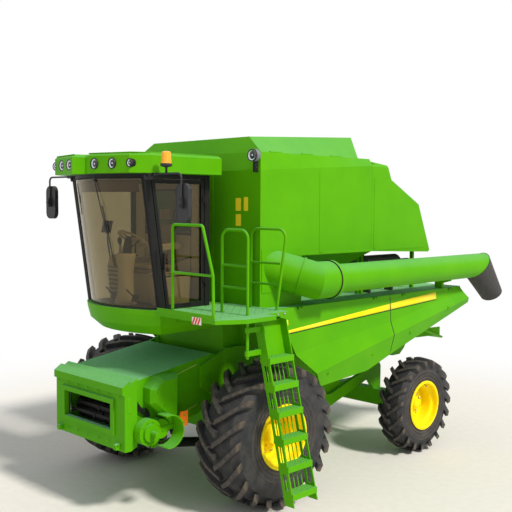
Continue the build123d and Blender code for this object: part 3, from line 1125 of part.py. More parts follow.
front_hinges = (500, SHIELD_SPLIT_Y - 360)
rear_hinges = (SHIELD_SPLIT_Y + 340, SHIELD_REAR_Y - 500)
shield_front_left = shield(0, front_outline, front_hinges)
shield_rear_left = shield(1, rear_outline, rear_hinges)
with BuildPart() as shield_front_right:
    add(shield_front_left.part.mirror(Plane.YZ))
with BuildPart() as shield_rear_right:
    add(shield_rear_left.part.mirror(Plane.YZ))

# Hinge pins of the shields, between two lugs on the shelf's edge.
with BuildPart() as shield_hinges:
    for side in (-1, 1):
        for y in front_hinges + rear_hinges:
            for near in (y - 25 - RUNNING_FIT - 12, y + 25 + RUNNING_FIT):
                block(min(side * SHELF_HALF, side * hinge_line_x),
                      max(side * SHELF_HALF, side * hinge_line_x), near, near + 12,
                      hinge_line_z - 12, hinge_line_z + 12)
                bar((side * hinge_line_x, near, hinge_line_z),
                    (side * hinge_line_x, near + 12, hinge_line_z), 12)
            bar((side * hinge_line_x, y - 37, hinge_line_z),
                (side * hinge_line_x, y + 37, hinge_line_z), 7)

# Unloading turret: the fixed half of the elbow, out through the tank's side to its ring.
joint_at = 0.72 * elbow_run.length
flange_y = ELBOW_START[1] + 140
with BuildPart() as auger_turret:
    bar(elbow_point(-3), elbow_point(joint_at), ELBOW_RADIUS)
    bar(elbow_point(joint_at - COLLAR), elbow_point(joint_at), ELBOW_RADIUS + COLLAR)
    block(TANK_HALF, TANK_HALF + 8, flange_y - 345, flange_y + 345, TUBE_Z - 150, TUBE_Z + 410)
    bar(elbow_point(-4), elbow_point(joint_at + 1), ELBOW_RADIUS - TUBE_SHEET,
        mode=Mode.SUBTRACT)

# Unloading tube: the turning half of the elbow, mitred to a short length, a flange ring and
# the long tube.
ring_y = 890
mitre_low_y = TUBE_END_Y - 340
mitre_high_y = TUBE_END_Y + 60
joint_point = elbow_point(joint_at + RUNNING_FIT)


def elbow_pipe(radius, start, mode=Mode.ADD):
    """The mitred elbow from a start on its axis to the flange ring."""
    with BuildLine() as path:
        Polyline(start, ELBOW_CORNER, (TUBE_X, ring_y, TUBE_Z))
    with BuildSketch(Plane(origin=start, z_dir=elbow_dir)) as profile:
        Circle(radius)
    sweep(profile.sketch, path=path.line, transition=Transition.RIGHT, mode=mode)


with BuildPart() as auger_tube:
    elbow_pipe(ELBOW_RADIUS, joint_point)
    bar(joint_point, elbow_point(joint_at + RUNNING_FIT + COLLAR), ELBOW_RADIUS + COLLAR)
    bar((TUBE_X, ring_y - 20, TUBE_Z), (TUBE_X, ring_y + 30, TUBE_Z), ELBOW_RADIUS + 12)
    bar((TUBE_X, ring_y, TUBE_Z), (TUBE_X, mitre_high_y, TUBE_Z), TUBE_RADIUS)
    bar((TUBE_X, ring_y, TUBE_Z), (TUBE_X, mitre_high_y + 1, TUBE_Z), TUBE_RADIUS - TUBE_SHEET,
        mode=Mode.SUBTRACT)
    elbow_pipe(TUBE_RADIUS - TUBE_SHEET - 3, elbow_point(joint_at - 1), mode=Mode.SUBTRACT)
    overrun_y = (mitre_high_y - mitre_low_y) / 4
    overrun_z = TUBE_RADIUS / 2
    side_slab([(mitre_low_y - overrun_y, TUBE_Z - TUBE_RADIUS - overrun_z),
               (mitre_high_y + overrun_y, TUBE_Z + TUBE_RADIUS + overrun_z),
               (mitre_high_y + 2 * overrun_y, TUBE_Z - TUBE_RADIUS - overrun_z)],
              TUBE_X - 2 * TUBE_RADIUS, TUBE_X + 2 * TUBE_RADIUS, mode=Mode.SUBTRACT)

# Spout: a rubber chute clamped to the tube's slanting end, which leads down and to the rear and
# narrows to its round mouth.
spout_throat = Plane(origin=(TUBE_X, (mitre_low_y + mitre_high_y) / 2, TUBE_Z), x_dir=(1, 0, 0),
                     z_dir=(0, 2 * TUBE_RADIUS, mitre_low_y - mitre_high_y))
spout_mouth = Plane(origin=(TUBE_X, TUBE_END_Y + 340, TUBE_Z - 490), x_dir=(1, 0, 0),
                    z_dir=(0, 0.62, -0.78))
throat_half = hypot(mitre_high_y - mitre_low_y, 2 * TUBE_RADIUS) / 2
with BuildPart() as auger_spout:
    for sheet, mode in ((0, Mode.ADD), (SPOUT_SHEET, Mode.SUBTRACT)):
        with BuildSketch(spout_throat.offset(1)) as throat:
            Ellipse(TUBE_RADIUS + 10 - sheet, throat_half + 10 - sheet)
        with BuildSketch(spout_mouth) as lip:
            Circle(TUBE_RADIUS - 10 - sheet)
        loft([throat.sketch, lip.sketch], mode=mode)

# Cradle that the unloading tube rests in, on the shelf behind.
cradle_y = DECK_REAR_Y - 550
with BuildPart() as tube_cradle:
    front_slab([(TUBE_X - 260, DECK_Z), (TUBE_X - 200, DECK_Z), (TUBE_X - 200, 2560),
                (TUBE_X - 60, 2600), (TUBE_X - 60, TUBE_Z - 150), (TUBE_X - 330, TUBE_Z - 60),
                (TUBE_X - 330, DECK_Z)], cradle_y, cradle_y + 60)
    bar((TUBE_X, cradle_y - 1, TUBE_Z), (TUBE_X, cradle_y + 61, TUBE_Z),
        TUBE_RADIUS + RUNNING_FIT, mode=Mode.SUBTRACT)

# Rear lamps and reflectors on the hood's back corners.
lamp_x = hood_half - 120
with BuildPart() as rear_lamps:
    for side in (-1, 1):
        block(side * lamp_x - 90, side * lamp_x + 90, hood_end_y, hood_end_y + 40, 2080, 2180)

# Hitch: the towing plates and pin under the rear axle beam.
hitch_y = WHEELBASE + REAR_BEAM_DEPTH / 2
tow_hole_y = arm_y + TIE_ROD_RADIUS + 40
with BuildPart() as rear_hitch:
    for z in (beam_z + 20, beam_z + 95):
        block(-90, 90, hitch_y, tow_hole_y + 60, z, z + 30)
    bar((0, tow_hole_y, beam_z + 19), (0, tow_hole_y, beam_z + 126), 20, mode=Mode.SUBTRACT)

pieces = {
    "main_body": main_body, "deck_frame": deck_frame, "straw_hood": straw_hood,
    "chopper": chopper, "front_axle": front_axle, "rear_axle": rear_axle,
    "knuckle_left": knuckles["knuckle_left"], "knuckle_right": knuckles["knuckle_right"],
    "tie_rod": tie_rod, "front_tyre_left": front_tyre_left, "front_tyre_right": front_tyre_right,
    "rear_tyre_left": rear_tyre_left, "rear_tyre_right": rear_tyre_right,
    "front_rim_left": front_rim_left, "front_rim_right": front_rim_right,
    "rear_rim_left": rear_rim_left, "rear_rim_right": rear_rim_right,
    "feeder_house": feeder_house, "feeder_frame": feeder_frame, "feeder_drum": feeder_drum,
    "feeder_drive": feeder_drive, "lift_barrels": lift_barrels, "lift_rods": lift_rods,
    "cab_base": cab_base, "cab_frame": cab_frame, "windscreen": windscreen,
    "cab_rear_wall": cab_rear_wall, "cab_glass": cab_glass, "cab_door": cab_door,
    "door_glass": door_glass, "cab_roof": cab_roof, "work_lamps": work_lamps,
    "beacon": beacon, "mirrors": mirrors, "seat_base": seat_base, "seat_pads": seat_pads,
    "console": console, "steering": steering, "platform": platform, "handrails": handrails,
    "ladder": ladder, "grain_tank": grain_tank, "tank_extension": tank_extension,
    "tank_augers": tank_augers, "engine_block": engine_block, "exhaust": exhaust,
    "engine_hood": engine_hood, "rotary_screen": rotary_screen,
    "shield_front_left": shield_front_left, "shield_rear_left": shield_rear_left,
    "shield_front_right": shield_front_right, "shield_rear_right": shield_rear_right,
    "shield_hinges": shield_hinges, "auger_turret": auger_turret, "auger_tube": auger_tube,
    "auger_spout": auger_spout, "tube_cradle": tube_cradle, "rear_lamps": rear_lamps,
    "rear_hitch": rear_hitch,
}
for node, piece in pieces.items():
    piece.part.label = node
    export_step(piece.part.moved(ORIGIN), f"parts/{node}.step")
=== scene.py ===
import math

import bmesh
import bpy
from mathutils import Matrix, Vector
from mathutils.bvhtree import BVHTree


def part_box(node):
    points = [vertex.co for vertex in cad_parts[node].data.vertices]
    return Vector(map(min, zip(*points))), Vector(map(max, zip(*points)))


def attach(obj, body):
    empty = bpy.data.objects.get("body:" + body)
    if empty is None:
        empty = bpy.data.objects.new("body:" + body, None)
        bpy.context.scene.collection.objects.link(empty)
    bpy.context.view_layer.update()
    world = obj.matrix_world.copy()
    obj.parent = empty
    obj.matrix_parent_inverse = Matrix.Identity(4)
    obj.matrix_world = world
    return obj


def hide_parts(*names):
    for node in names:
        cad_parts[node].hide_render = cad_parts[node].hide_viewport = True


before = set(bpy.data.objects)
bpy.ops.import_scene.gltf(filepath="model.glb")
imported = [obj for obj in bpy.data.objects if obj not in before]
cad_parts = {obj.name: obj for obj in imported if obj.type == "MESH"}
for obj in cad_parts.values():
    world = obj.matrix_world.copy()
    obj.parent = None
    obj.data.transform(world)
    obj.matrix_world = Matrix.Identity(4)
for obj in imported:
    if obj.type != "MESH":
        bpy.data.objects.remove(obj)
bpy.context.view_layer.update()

# Combine harvester. Lengths are in millimetres in the machine's own axes, as in the part's
# source: y = 0 at the front axle, x = 0 at the middle, z = 0 at the ground, the front at -Y and
# the left side, with the ladder and the unloading tube, at +X.
MACHINE_ORIGIN = Vector((-0.270, -1.708, 0))


def at(x, y, z):
    """A point of the machine's axes in millimetres, as metres in the model's frame."""
    return Vector((x, y, z)) / 1000 + MACHINE_ORIGIN


# ---- Studio: a plain pale floor, one soft key lamp from the machine's left side, as in the
# photograph, and an even white surround that fills the shaded front.
CAMERA_PLACE = at(8559, -7324, 3803)
CAMERA_AZIMUTH = math.radians(44.99)
CAMERA_PITCH = math.radians(3.677)
CAMERA_ROLL = math.radians(0.338)


def linear(colour):
    """A colour written as sRGB hex, as the linear values that a shader takes."""
    parts = [int(colour[i:i + 2], 16) / 255 for i in (1, 3, 5)]
    return [c / 12.92 if c <= 0.04045 else ((c + 0.055) / 1.055) ** 2.4 for c in parts] + [1]


def node(tree, kind, values=None, links=None, **settings):
    """Adds a node, with its settings, its sockets' values and the outputs linked to them."""
    made = tree.nodes.new(kind)
    for name, value in settings.items():
        setattr(made, name, value)
    for socket, value in (values or {}).items():
        made.inputs[socket].default_value = value
    for socket, source in (links or {}).items():
        tree.links.new(source, made.inputs[socket])
    return made


def new_material(name):
    """An empty node material and its tree."""
    material = bpy.data.materials.new(name)
    material.use_nodes = True
    material.node_tree.nodes.clear()
    return material, material.node_tree


def pattern(tree, kind, values, **settings):
    """A texture in the model's own coordinates: its scale counts per metre."""
    place = node(tree, "ShaderNodeTexCoord")
    return node(tree, kind, values, {"Vector": place.outputs["Object"]}, **settings)


def two_tone(tree, source, dark, pale, spread=(0.0, 1.0)):
    """A ramp from a dark to a pale sRGB colour, led by an output."""
    ramp = node(tree, "ShaderNodeValToRGB", links={"Fac": source})
    for stop, stands, colour in zip(ramp.color_ramp.elements, spread, (dark, pale)):
        stop.position = stands
        stop.color = linear(colour)
    return ramp.outputs["Color"]


def ranged(tree, source, low=0.0, high=1.0, to_low=0.0, to_high=1.0):
    """One range of an output's values laid over another range, held at its ends."""
    return node(tree, "ShaderNodeMapRange", {"From Min": low, "From Max": high,
                                             "To Min": to_low, "To Max": to_high},
                {"Value": source}).outputs[0]


def ends_in(tree, values, links, kind="ShaderNodeBsdfPrincipled"):
    """The shader that a material ends in, joined to its output."""
    shader = node(tree, kind, values, links)
    node(tree, "ShaderNodeOutputMaterial", links={"Surface": shader.outputs[0]})


def seen_past(tree):
    """The share of a ray that sees the white surround: camera, mirror and glass rays."""
    rays = node(tree, "ShaderNodeLightPath")
    share = node(tree, "ShaderNodeMath", links={0: rays.outputs["Is Camera Ray"],
                                                1: rays.outputs["Is Glossy Ray"]},
                 operation="MAXIMUM")
    return node(tree, "ShaderNodeMath", links={0: share.outputs[0],
                                               1: rays.outputs["Is Transmission Ray"]},
                operation="MAXIMUM")


lens = bpy.data.cameras.new("camera")
lens.sensor_width = 36
lens.lens = 57.656
lens.clip_end = 300
camera = bpy.data.objects.new("camera", lens)
bpy.context.scene.collection.objects.link(camera)
ahead = Vector((-math.sin(CAMERA_AZIMUTH) * math.cos(CAMERA_PITCH),
                math.cos(CAMERA_AZIMUTH) * math.cos(CAMERA_PITCH), -math.sin(CAMERA_PITCH)))
level = Vector((math.cos(CAMERA_AZIMUTH), math.sin(CAMERA_AZIMUTH), 0))
upright = level.cross(ahead)
right = level * math.cos(CAMERA_ROLL) + upright * math.sin(CAMERA_ROLL)
up = upright * math.cos(CAMERA_ROLL) - level * math.sin(CAMERA_ROLL)
camera.matrix_world = Matrix.Translation(CAMERA_PLACE) @ Matrix(
    (right, up, -ahead)).transposed().to_4x4()
bpy.context.scene.camera = camera
bpy.context.scene.view_settings.view_transform = "Standard"

key = bpy.data.lights.new("key", "SUN")
key.energy = 3.1
key.angle = math.radians(8)
key.color = linear("#FFF8EC")[:3]
key_lamp = bpy.data.objects.new("key", key)
key_lamp.rotation_euler = Vector((0.74, 0.05, 0.80)).to_track_quat("Z", "Y").to_euler()
bpy.context.scene.collection.objects.link(key_lamp)

world = bpy.data.worlds.new("surround")
bpy.context.scene.world = world
world.use_nodes = True
sky = world.node_tree
sky.nodes.clear()
strength = ranged(sky, seen_past(sky).outputs[0], to_low=0.5)
backdrop = node(sky, "ShaderNodeBackground", {"Color": linear("#FFFFFF")},
                {"Strength": strength})
node(sky, "ShaderNodeOutputWorld", links={"Surface": backdrop.outputs[0]})

# The floor is matt pale screed near the machine and fades to the white surround, so that no
# horizon shows.
FLOOR_HALF = 90
floor_mesh = bpy.data.meshes.new("floor")
floor_mesh.from_pydata([(x * FLOOR_HALF, y * FLOOR_HALF, 0)
                        for x, y in ((-1, -1), (1, -1), (1, 1), (-1, 1))], [], [(0, 1, 2, 3)])
floor = bpy.data.objects.new("floor", floor_mesh)
bpy.context.scene.collection.objects.link(floor)
pale_screed, tree = new_material("pale_screed_trowelled")
place = node(tree, "ShaderNodeTexCoord")
away = node(tree, "ShaderNodeVectorMath", links={0: place.outputs["Object"]}, operation="LENGTH")
fade = node(tree, "ShaderNodeMapRange", {"From Min": 4.5, "From Max": 10.0},
            {"Value": away.outputs["Value"]}, interpolation_type="SMOOTHSTEP")
share = node(tree, "ShaderNodeMath", links={0: fade.outputs[0], 1: seen_past(tree).outputs[0]},
             operation="MULTIPLY")
grain = pattern(tree, "ShaderNodeTexNoise", {"Scale": 9.0, "Detail": 5.0})
matt = node(tree, "ShaderNodeBsdfDiffuse",
            links={"Color": two_tone(tree, grain.outputs["Fac"], "#DEDDDA", "#EAE9E6")})
white = node(tree, "ShaderNodeEmission", {"Color": linear("#FFFFFF"), "Strength": 1.0})
ends_in(tree, None, {0: share.outputs[0], 1: matt.outputs[0], 2: white.outputs[0]},
        "ShaderNodeMixShader")
floor_mesh.materials.append(pale_screed)


# ---- Separator body, deck, straw hood and axles: steel sheet and box section, welded and
# bolted, under sprayed and baked green enamel.
def blend(tree, share, first, second):
    """A mix of two colours, each an sRGB hex or an output."""
    mixer = node(tree, "ShaderNodeMixRGB", links={0: share})
    for socket, colour in zip(mixer.inputs[1:3], (first, second)):
        if isinstance(colour, str):
            socket.default_value = linear(colour)
        else:
            tree.links.new(colour, socket)
    return mixer.outputs[0]


def relief_in(tree, height, strength, depth):
    """A fine relief of a depth in metres, as the normal that a shader takes."""
    return node(tree, "ShaderNodeBump", {"Strength": strength, "Distance": depth},
                {"Height": height}).outputs[0]


def enamel(name, colour, faded, dust_and_sheen, roughness=0.42, bloom=0.16):
    """Sprayed and baked enamel on sheet steel: an even colour that sun has bleached in soft
    patches, faint orange peel, and a bloom on what faces up, partly dust and partly a painted sky
    reflection."""
    material, tree = new_material(name)
    surface = node(tree, "ShaderNodeNewGeometry")
    # patches of about 700 mm
    patches = pattern(tree, "ShaderNodeTexNoise",
                      {"Scale": 1.4, "Detail": 3.0, "Roughness": 0.55})
    bleach = ranged(tree, patches.outputs["Fac"], low=0.35, high=0.7)
    base = blend(tree, bleach, colour, faded)
    facing = node(tree, "ShaderNodeSeparateXYZ", links={0: surface.outputs["Normal"]})
    # what faces up is lightened towards the dust colour: partly dust, partly a painted reflection
    # of the sky
    upward_dust_and_sheen = ranged(tree, facing.outputs["Z"], low=0.35, high=1.0, to_high=bloom)
    # specks of about 25 mm break up the dust and the painted sky reflection
    specks = pattern(tree, "ShaderNodeTexNoise",
                     {"Scale": 40.0, "Detail": 6.0, "Roughness": 0.7})
    laid_dust_and_sheen = node(tree, "ShaderNodeMath", links={0: upward_dust_and_sheen, 1: specks.outputs["Fac"]},
                operation="MULTIPLY")
    dusted_and_sheened = blend(tree, laid_dust_and_sheen.outputs[0], base, dust_and_sheen)
    # paint worn pale along pressed edges, about 4 mm wide
    worn = ranged(tree, surface.outputs["Pointiness"], low=0.52, high=0.60, to_high=0.35)
    edged = blend(tree, worn, dusted_and_sheened, faded)
    sheen = ranged(tree, laid_dust_and_sheen.outputs[0], to_low=roughness, to_high=roughness + 0.4)
    # orange peel of about 2.5 mm
    peel = pattern(tree, "ShaderNodeTexNoise", {"Scale": 400.0, "Detail": 1.0})
    relief = relief_in(tree, peel.outputs["Fac"], 0.05, 0.0006)
    ends_in(tree, {"IOR": 1.4, "Specular IOR Level": 0.16},
            {"Base Color": edged, "Roughness": sheen,
             "Normal": relief})
    return material


def dress(names, material):
    """Gives CAD nodes a material in all their slots."""
    for name in names.split():
        for place_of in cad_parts[name].material_slots:
            place_of.material = material


# its pale teal dust colour is partly dust and partly a painted sky reflection on what faces up
green_enamel = enamel("green_enamel_baked", "#50A400", "#5CAE00", "#7CBE94", 0.5, 0.6)
dress("main_body straw_hood chopper front_axle rear_axle knuckle_left knuckle_right tie_rod"
      " feeder_drive cab_base cab_roof handrails ladder grain_tank tank_extension engine_hood"
      " shield_front_left shield_rear_left shield_front_right shield_rear_right auger_turret"
      " auger_tube tube_cradle rear_hitch tank_augers", green_enamel)

# the steps and tops that people walk on, and the chute's top under the cab, hold more dust, and a
# stronger painted sky reflection lightens what faces up, also where the cab shades the chute's top
dusty_sheened_enamel = enamel("green_enamel_dust_and_painted_sheen", "#4CA000", "#58AA08", "#8CC8A8", 0.55, 1.5)
dress("feeder_house feeder_frame platform deck_frame", dusty_sheened_enamel)


# An edge is drawn sharp from the first angle, and rounded from the second (degrees)
SHARP_FROM = 32
ROUND_FROM = 40


def make_piece(name, shapes, material, body, bevel=0.0, smooth=False):
    """One mesh piece from shapes in the machine's millimetres, riding on a body, with its
    edges rounded over a width in millimetres."""
    points = []
    faces = []
    for shape_points, shape_faces in shapes:
        faces += [[i + len(points) for i in face] for face in shape_faces]
        points += [at(*point) for point in shape_points]
    mesh = bpy.data.meshes.new(name)
    mesh.from_pydata(points, [], faces)
    shell = bmesh.new()
    shell.from_mesh(mesh)
    bmesh.ops.recalc_face_normals(shell, faces=shell.faces)
    shell.to_mesh(mesh)
    shell.free()
    mesh.materials.append(material)
    piece = bpy.data.objects.new(name, mesh)
    bpy.context.scene.collection.objects.link(piece)
    mesh.polygons.foreach_set("use_smooth", [True] * len(mesh.polygons))
    mesh.set_sharp_from_angle(angle=math.radians(180 if smooth else SHARP_FROM))
    if bevel:
        rounding = piece.modifiers.new("rounding", "BEVEL")
        rounding.width = bevel / 1000
        rounding.segments = 2
        rounding.limit_method = "ANGLE"
        rounding.angle_limit = math.radians(ROUND_FROM)
    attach(piece, body)
    return piece


def green_part(name, shapes, bevel=0.0, smooth=False):
    """A piece in green enamel that is welded or bolted on the machine's body."""
    return make_piece(name, shapes, green_enamel, "chassis", bevel, smooth)


def about_x(x, y, z, radius, turn):
    """The point at a turn of a circle that stands across the machine's width."""
    return x, y + radius * math.cos(turn), z + radius * math.sin(turn)


def on_side(side, inner, outer):
    """The low and the high x of a plate on the left (1) or the right (-1) side."""
    return min(side * inner, side * outer), max(side * inner, side * outer)


def prism(outline, across, low, high):
    """A plate: an outline in the plane that an axis (0, 1 or 2) stands across, between two
    places on that axis."""
    def point(pair, level_at):
        return tuple(pair[:across]) + (level_at,) + tuple(pair[across:])
    count = len(outline)
    points = [point(pair, low) for pair in outline] + [point(pair, high) for pair in outline]
    sides = [(i, (i + 1) % count, (i + 1) % count + count, i + count) for i in range(count)]
    return points, sides + [tuple(range(count))[::-1], tuple(range(count, 2 * count))]


def bar_between(x0, x1, y0, y1, z0, z1):
    """A straight bar or plate along the machine's axes."""
    return prism([(x0, y0), (x1, y0), (x1, y1), (x0, y1)], 2, z0, z1)


def skin_of(rings, sides):
    """The faces of a skin over rings of points, the two end caps last."""
    faces = [(r * sides + k, r * sides + (k + 1) % sides, (r + 1) * sides + (k + 1) % sides,
              (r + 1) * sides + k) for r in range(rings - 1) for k in range(sides)]
    last = (rings - 1) * sides
    return faces + [tuple(range(sides))[::-1], tuple(range(last, last + sides))]


def turned(centre, axis, profile, sides=24):
    """A shape turned about an axis: the profile's columns are the place along it and the
    radius there."""
    ahead = Vector(axis).normalized()
    across = ahead.orthogonal().normalized()
    over = ahead.cross(across)
    points = []
    for along, radius in profile:
        for k in range(sides):
            turn = 2 * math.pi * k / sides
            offset = (across * math.cos(turn) + over * math.sin(turn)) * radius
            points.append(tuple(Vector(centre) + ahead * along + offset))
    return points, skin_of(len(profile), sides)


def tube(corners, radius, bend=0.0, sides=10):
    """A round tube through corners, each one rounded over a length."""
    corners = [Vector(c) for c in corners]
    path = [corners[0]]
    for before, corner, after in zip(corners, corners[1:], corners[2:]):
        if bend:
            enter = corner + (before - corner).normalized() * bend
            leave = corner + (after - corner).normalized() * bend
            for step in range(5):
                t = step / 4
                path.append(enter * (1 - t) ** 2 + corner * 2 * t * (1 - t) + leave * t ** 2)
        else:
            path.append(corner)
    path.append(corners[-1])
    points = []
    side = (path[1] - path[0]).orthogonal().normalized()
    for i, spot in enumerate(path):
        into = (spot - path[i - 1]).normalized() if i else (path[1] - path[0]).normalized()
        out = (path[i + 1] - spot).normalized() if i < len(path) - 1 else into
        ahead = (into + out).normalized()
        side = (side - ahead * side.dot(ahead)).normalized()
        over = ahead.cross(side)
        for k in range(sides):
            turn = 2 * math.pi * k / sides
            points.append(tuple(spot + (side * math.cos(turn) + over * math.sin(turn)) * radius))
    return points, skin_of(len(path), sides)


def bolt(spot, axis, size=18):
    """A hexagon head on its washer, standing up along an axis."""
    washer = turned(spot, axis, [(0, size * 0.72), (size * 0.14, size * 0.72)], 12)
    head = turned(spot, axis, [(size * 0.14, size * 0.56), (size * 0.5, size * 0.56),
                               (size * 0.6, size * 0.45)], 6)
    return [washer, head]


def bolts(spots, axis, size=18):
    """Bolt heads at several places."""
    return [shape for spot in spots for shape in bolt(spot, axis, size)]


def surface_of(*names):
    """A search tree of the CAD nodes' faces, in the model's frame."""
    trees = []
    for name in names:
        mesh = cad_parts[name].data
        trees.append(BVHTree.FromPolygons([v.co for v in mesh.vertices],
                                          [tuple(p.vertices) for p in mesh.polygons]))
    return trees


CAST_FROM_X = 3000


def cast_x(trees, y, z, side=1):
    """Where the surface stands across the machine at a length and a height, seen from one
    side, or None where nothing stands."""
    best = None
    for tree_of in trees:
        hit = tree_of.ray_cast(at(side * CAST_FROM_X, y, z), Vector((-side, 0, 0)))[0]
        if hit is not None:
            x = (hit.x - MACHINE_ORIGIN.x) * 1000
            if best is None or side * x > side * best:
                best = x
    return best


# Bolts and nuts left bare: zinc-plated steel with a dull sheen.
zinc_bolts, tree = new_material("steel_zinc_plated")
# crystals of about 4 mm dull the plating in patches
spangle = pattern(tree, "ShaderNodeTexVoronoi", {"Scale": 250.0})
ends_in(tree, {"Metallic": 1.0, "Roughness": 0.42},
        {"Base Color": two_tone(tree, spangle.outputs["Distance"], "#8F9394", "#B4B7B6")})

# Stiffening ribs pressed in the body's sides.
rib_shapes = []
for side in (-1, 1):
    for y in range(1100, 3300, 420):
        rib_shapes.append(prism([(y, 1500), (y + 60, 1500), (y + 60, 2360), (y, 2360)], 0,
                                *on_side(side, 640, 652)))
green_part("body_ribs", rib_shapes, 5)

# ---- Wheels: drop-centre steel rims in yellow enamel, bolted to the hubs through a ring of
# nuts, under bias tyres of moulded rubber that fine soil has greyed.
yellow_enamel = enamel("yellow_enamel_baked", "#FFE200", "#FFEA20", "#D8C890", 0.45, 0.1)
dress("front_rim_left front_rim_right rear_rim_left rear_rim_right", yellow_enamel)

moulded_rubber, tree = new_material("tyre_rubber_moulded")
# stains of about 140 mm, with soil in the pores
stain = pattern(tree, "ShaderNodeTexNoise", {"Scale": 7.0, "Detail": 8.0, "Roughness": 0.65})
soil = two_tone(tree, stain.outputs["Fac"], "#1E2126", "#423E3C", (0.40, 0.78))
surface = node(tree, "ShaderNodeNewGeometry")
# lug edges lightened to a pale brown, about 10 mm wide: partly scuffing, partly a painted
# highlight
scuff_and_highlight = ranged(tree, surface.outputs["Pointiness"], low=0.53, high=0.62, to_high=0.6)
scuffed_and_highlit = blend(tree, scuff_and_highlight, soil, "#6A5C4E")
pores = pattern(tree, "ShaderNodeTexNoise", {"Scale": 260.0, "Detail": 4.0})
relief = relief_in(tree, pores.outputs["Fac"], 0.35, 0.002)
ends_in(tree, {"Roughness": 0.7, "IOR": 1.52},
        {"Base Color": scuffed_and_highlit, "Normal": relief})
dress("front_tyre_left front_tyre_right rear_tyre_left rear_tyre_right", moulded_rubber)

SIDES = (("left", 1), ("right", -1))
# Columns: end of the machine, y and z of the axle, radius of the rim's lip, radius of the nuts'
# ring, number of nuts, radius and height of the hub cap
wheels = (("front", 0, 915, 411, 235, 12, 130, 96), ("rear", 3320, 720, 376, 150, 8, 84, 60))
NUT_SIZE = 34
RING_SIDES = 72
RING_TURN = math.radians(11)
VALVE_TURN = math.radians(70)
for end, axle_y, axle_z, lip, ring, nuts, cap, cap_height in wheels:
    for word, side in SIDES:
        rim_tree = surface_of(end + "_rim_" + word)
        tyre_tree = surface_of(end + "_tyre_" + word)
        body = end + "_wheel_" + word

        def face_at(trees, radius, turn):
            """Where the wheel's outer face stands at a radius and a turn."""
            return cast_x(trees, *about_x(0, axle_y, axle_z, radius, turn)[1:], side)
        shapes = []
        for k in range(nuts):
            turn = 2 * math.pi * (k + 0.5) / nuts
            x = face_at(rim_tree, ring, turn) - side * 2
            shapes += bolt(about_x(x, axle_y, axle_z, ring, turn), (side, 0, 0), NUT_SIZE)
        make_piece(end + "_wheel_nuts_" + word, shapes, zinc_bolts, body)
        hub_x = face_at(rim_tree, cap + 12, 0.4)
        profile = [(-6, cap + 6), (4, cap + 6), (8, cap), (cap_height, cap - 6),
                   (cap_height + 10, cap - 22), (cap_height + 13, 0)]
        shapes = [turned((hub_x, axle_y, axle_z), (side, 0, 0), profile, 36)]
        shapes += bolts([about_x(hub_x + side * (cap_height + 6), axle_y, axle_z, cap - 30, turn)
                         for turn in (0.5, 1.55, 2.6, 3.65, 4.7, 5.75)], (side, 0, 0), 20)
        make_piece(end + "_hub_cap_" + word, shapes, yellow_enamel, body, 2)
        # rolled steps of the bead seat, inside the lip
        rings = []
        for radius in (lip - 22, lip - 46, lip - 78):
            x = face_at(rim_tree, radius, 0.3)
            rings.append(tube([about_x(x, axle_y, axle_z, radius, k * math.pi / 24)
                               for k in range(49)], 6, 0, 6))
        make_piece(end + "_rim_steps_" + word, rings, yellow_enamel, body,
                   smooth=True)
        stem_x, stem_y, stem_z = about_x(face_at(rim_tree, lip - 70, VALVE_TURN), axle_y, axle_z,
                                         lip - 70, VALVE_TURN)
        make_piece(end + "_valve_" + word,
                   [tube([(stem_x, stem_y, stem_z), (stem_x + side * 25, stem_y, stem_z),
                          (stem_x + side * 45, stem_y - 8, stem_z - 20)], 7, 8)],
                   zinc_bolts, body)
        # moulded rings on the sidewall: a rim guard and a wide shoulder ring
        bands = []
        for radius, width, proud in ((lip + 45, 12, 7), (lip + 90, 6, 4), (lip + 150, 9, 4)):
            near_x, x, far_x = (face_at(tyre_tree, r, RING_TURN)
                                for r in (radius - width, radius, radius + width))
            points = [about_x(place_x, axle_y, axle_z, place_r, 2 * math.pi * k / RING_SIDES)
                      for place_x, place_r in ((near_x - side * 4, radius - width),
                                               (x + side * proud, radius - 3),
                                               (x + side * proud, radius + 3),
                                               (far_x - side * 4, radius + width))
                      for k in range(RING_SIDES)]
            faces = [(r * RING_SIDES + k, r * RING_SIDES + (k + 1) % RING_SIDES,
                      (r + 1) % 4 * RING_SIDES + (k + 1) % RING_SIDES,
                      (r + 1) % 4 * RING_SIDES + k)
                     for r in range(4) for k in range(RING_SIDES)]
            bands.append((points, faces))
        make_piece(end + "_sidewall_rings_" + word, bands, moulded_rubber, body,
                   smooth=True)


# ---- Lift cylinders: black-enamelled barrels with hard-chromed rods, pinned under the chute;
# the drum, the shields' pins and the cab's posts and door frame share the black enamel.
black_enamel = enamel("black_enamel_satin", "#1C1D1E", "#262626", "#5A574E", 0.45, 0.1)
dress("lift_barrels feeder_drum shield_hinges cab_frame cab_door work_lamps", black_enamel)

hard_chrome, tree = new_material("steel_hard_chromed")
# polishing marks of about 1 mm
lines = pattern(tree, "ShaderNodeTexNoise", {"Scale": 900.0, "Detail": 2.0})
sheen = ranged(tree, lines.outputs["Fac"], to_low=0.12, to_high=0.24)
ends_in(tree, {"Metallic": 1.0, "Base Color": linear("#D5D7D8")},
        {"Roughness": sheen})
dress("lift_rods", hard_chrome)

# Conveyor inside the chute's mouth: steel slats on three chains.
shapes = []
for z in (1130, 1210, 1290, 1370):
    slope_y = -1590 + (z - 1130) * 0.9
    shapes.append(prism([(slope_y, z), (slope_y + 6, z), (slope_y + 6, z + 44), (slope_y, z + 44)],
                        0, -500, 470))
    for x in (-480, -20, 440):
        shapes.append(bar_between(x - 26, x + 26, slope_y - 8, slope_y + 12, z - 14, z + 30))
make_piece("feeder_slats", shapes, black_enamel, "feeder", 2)

# Carriage bolts along the frame's top and foot, painted over with it.
frame_bolts = [(x, -1708, z) for x in range(-660, 700, 220) for z in (1520, 930)]
make_piece("frame_bolts", bolts(frame_bolts, (0, -1, 0), 22), green_enamel, "feeder")

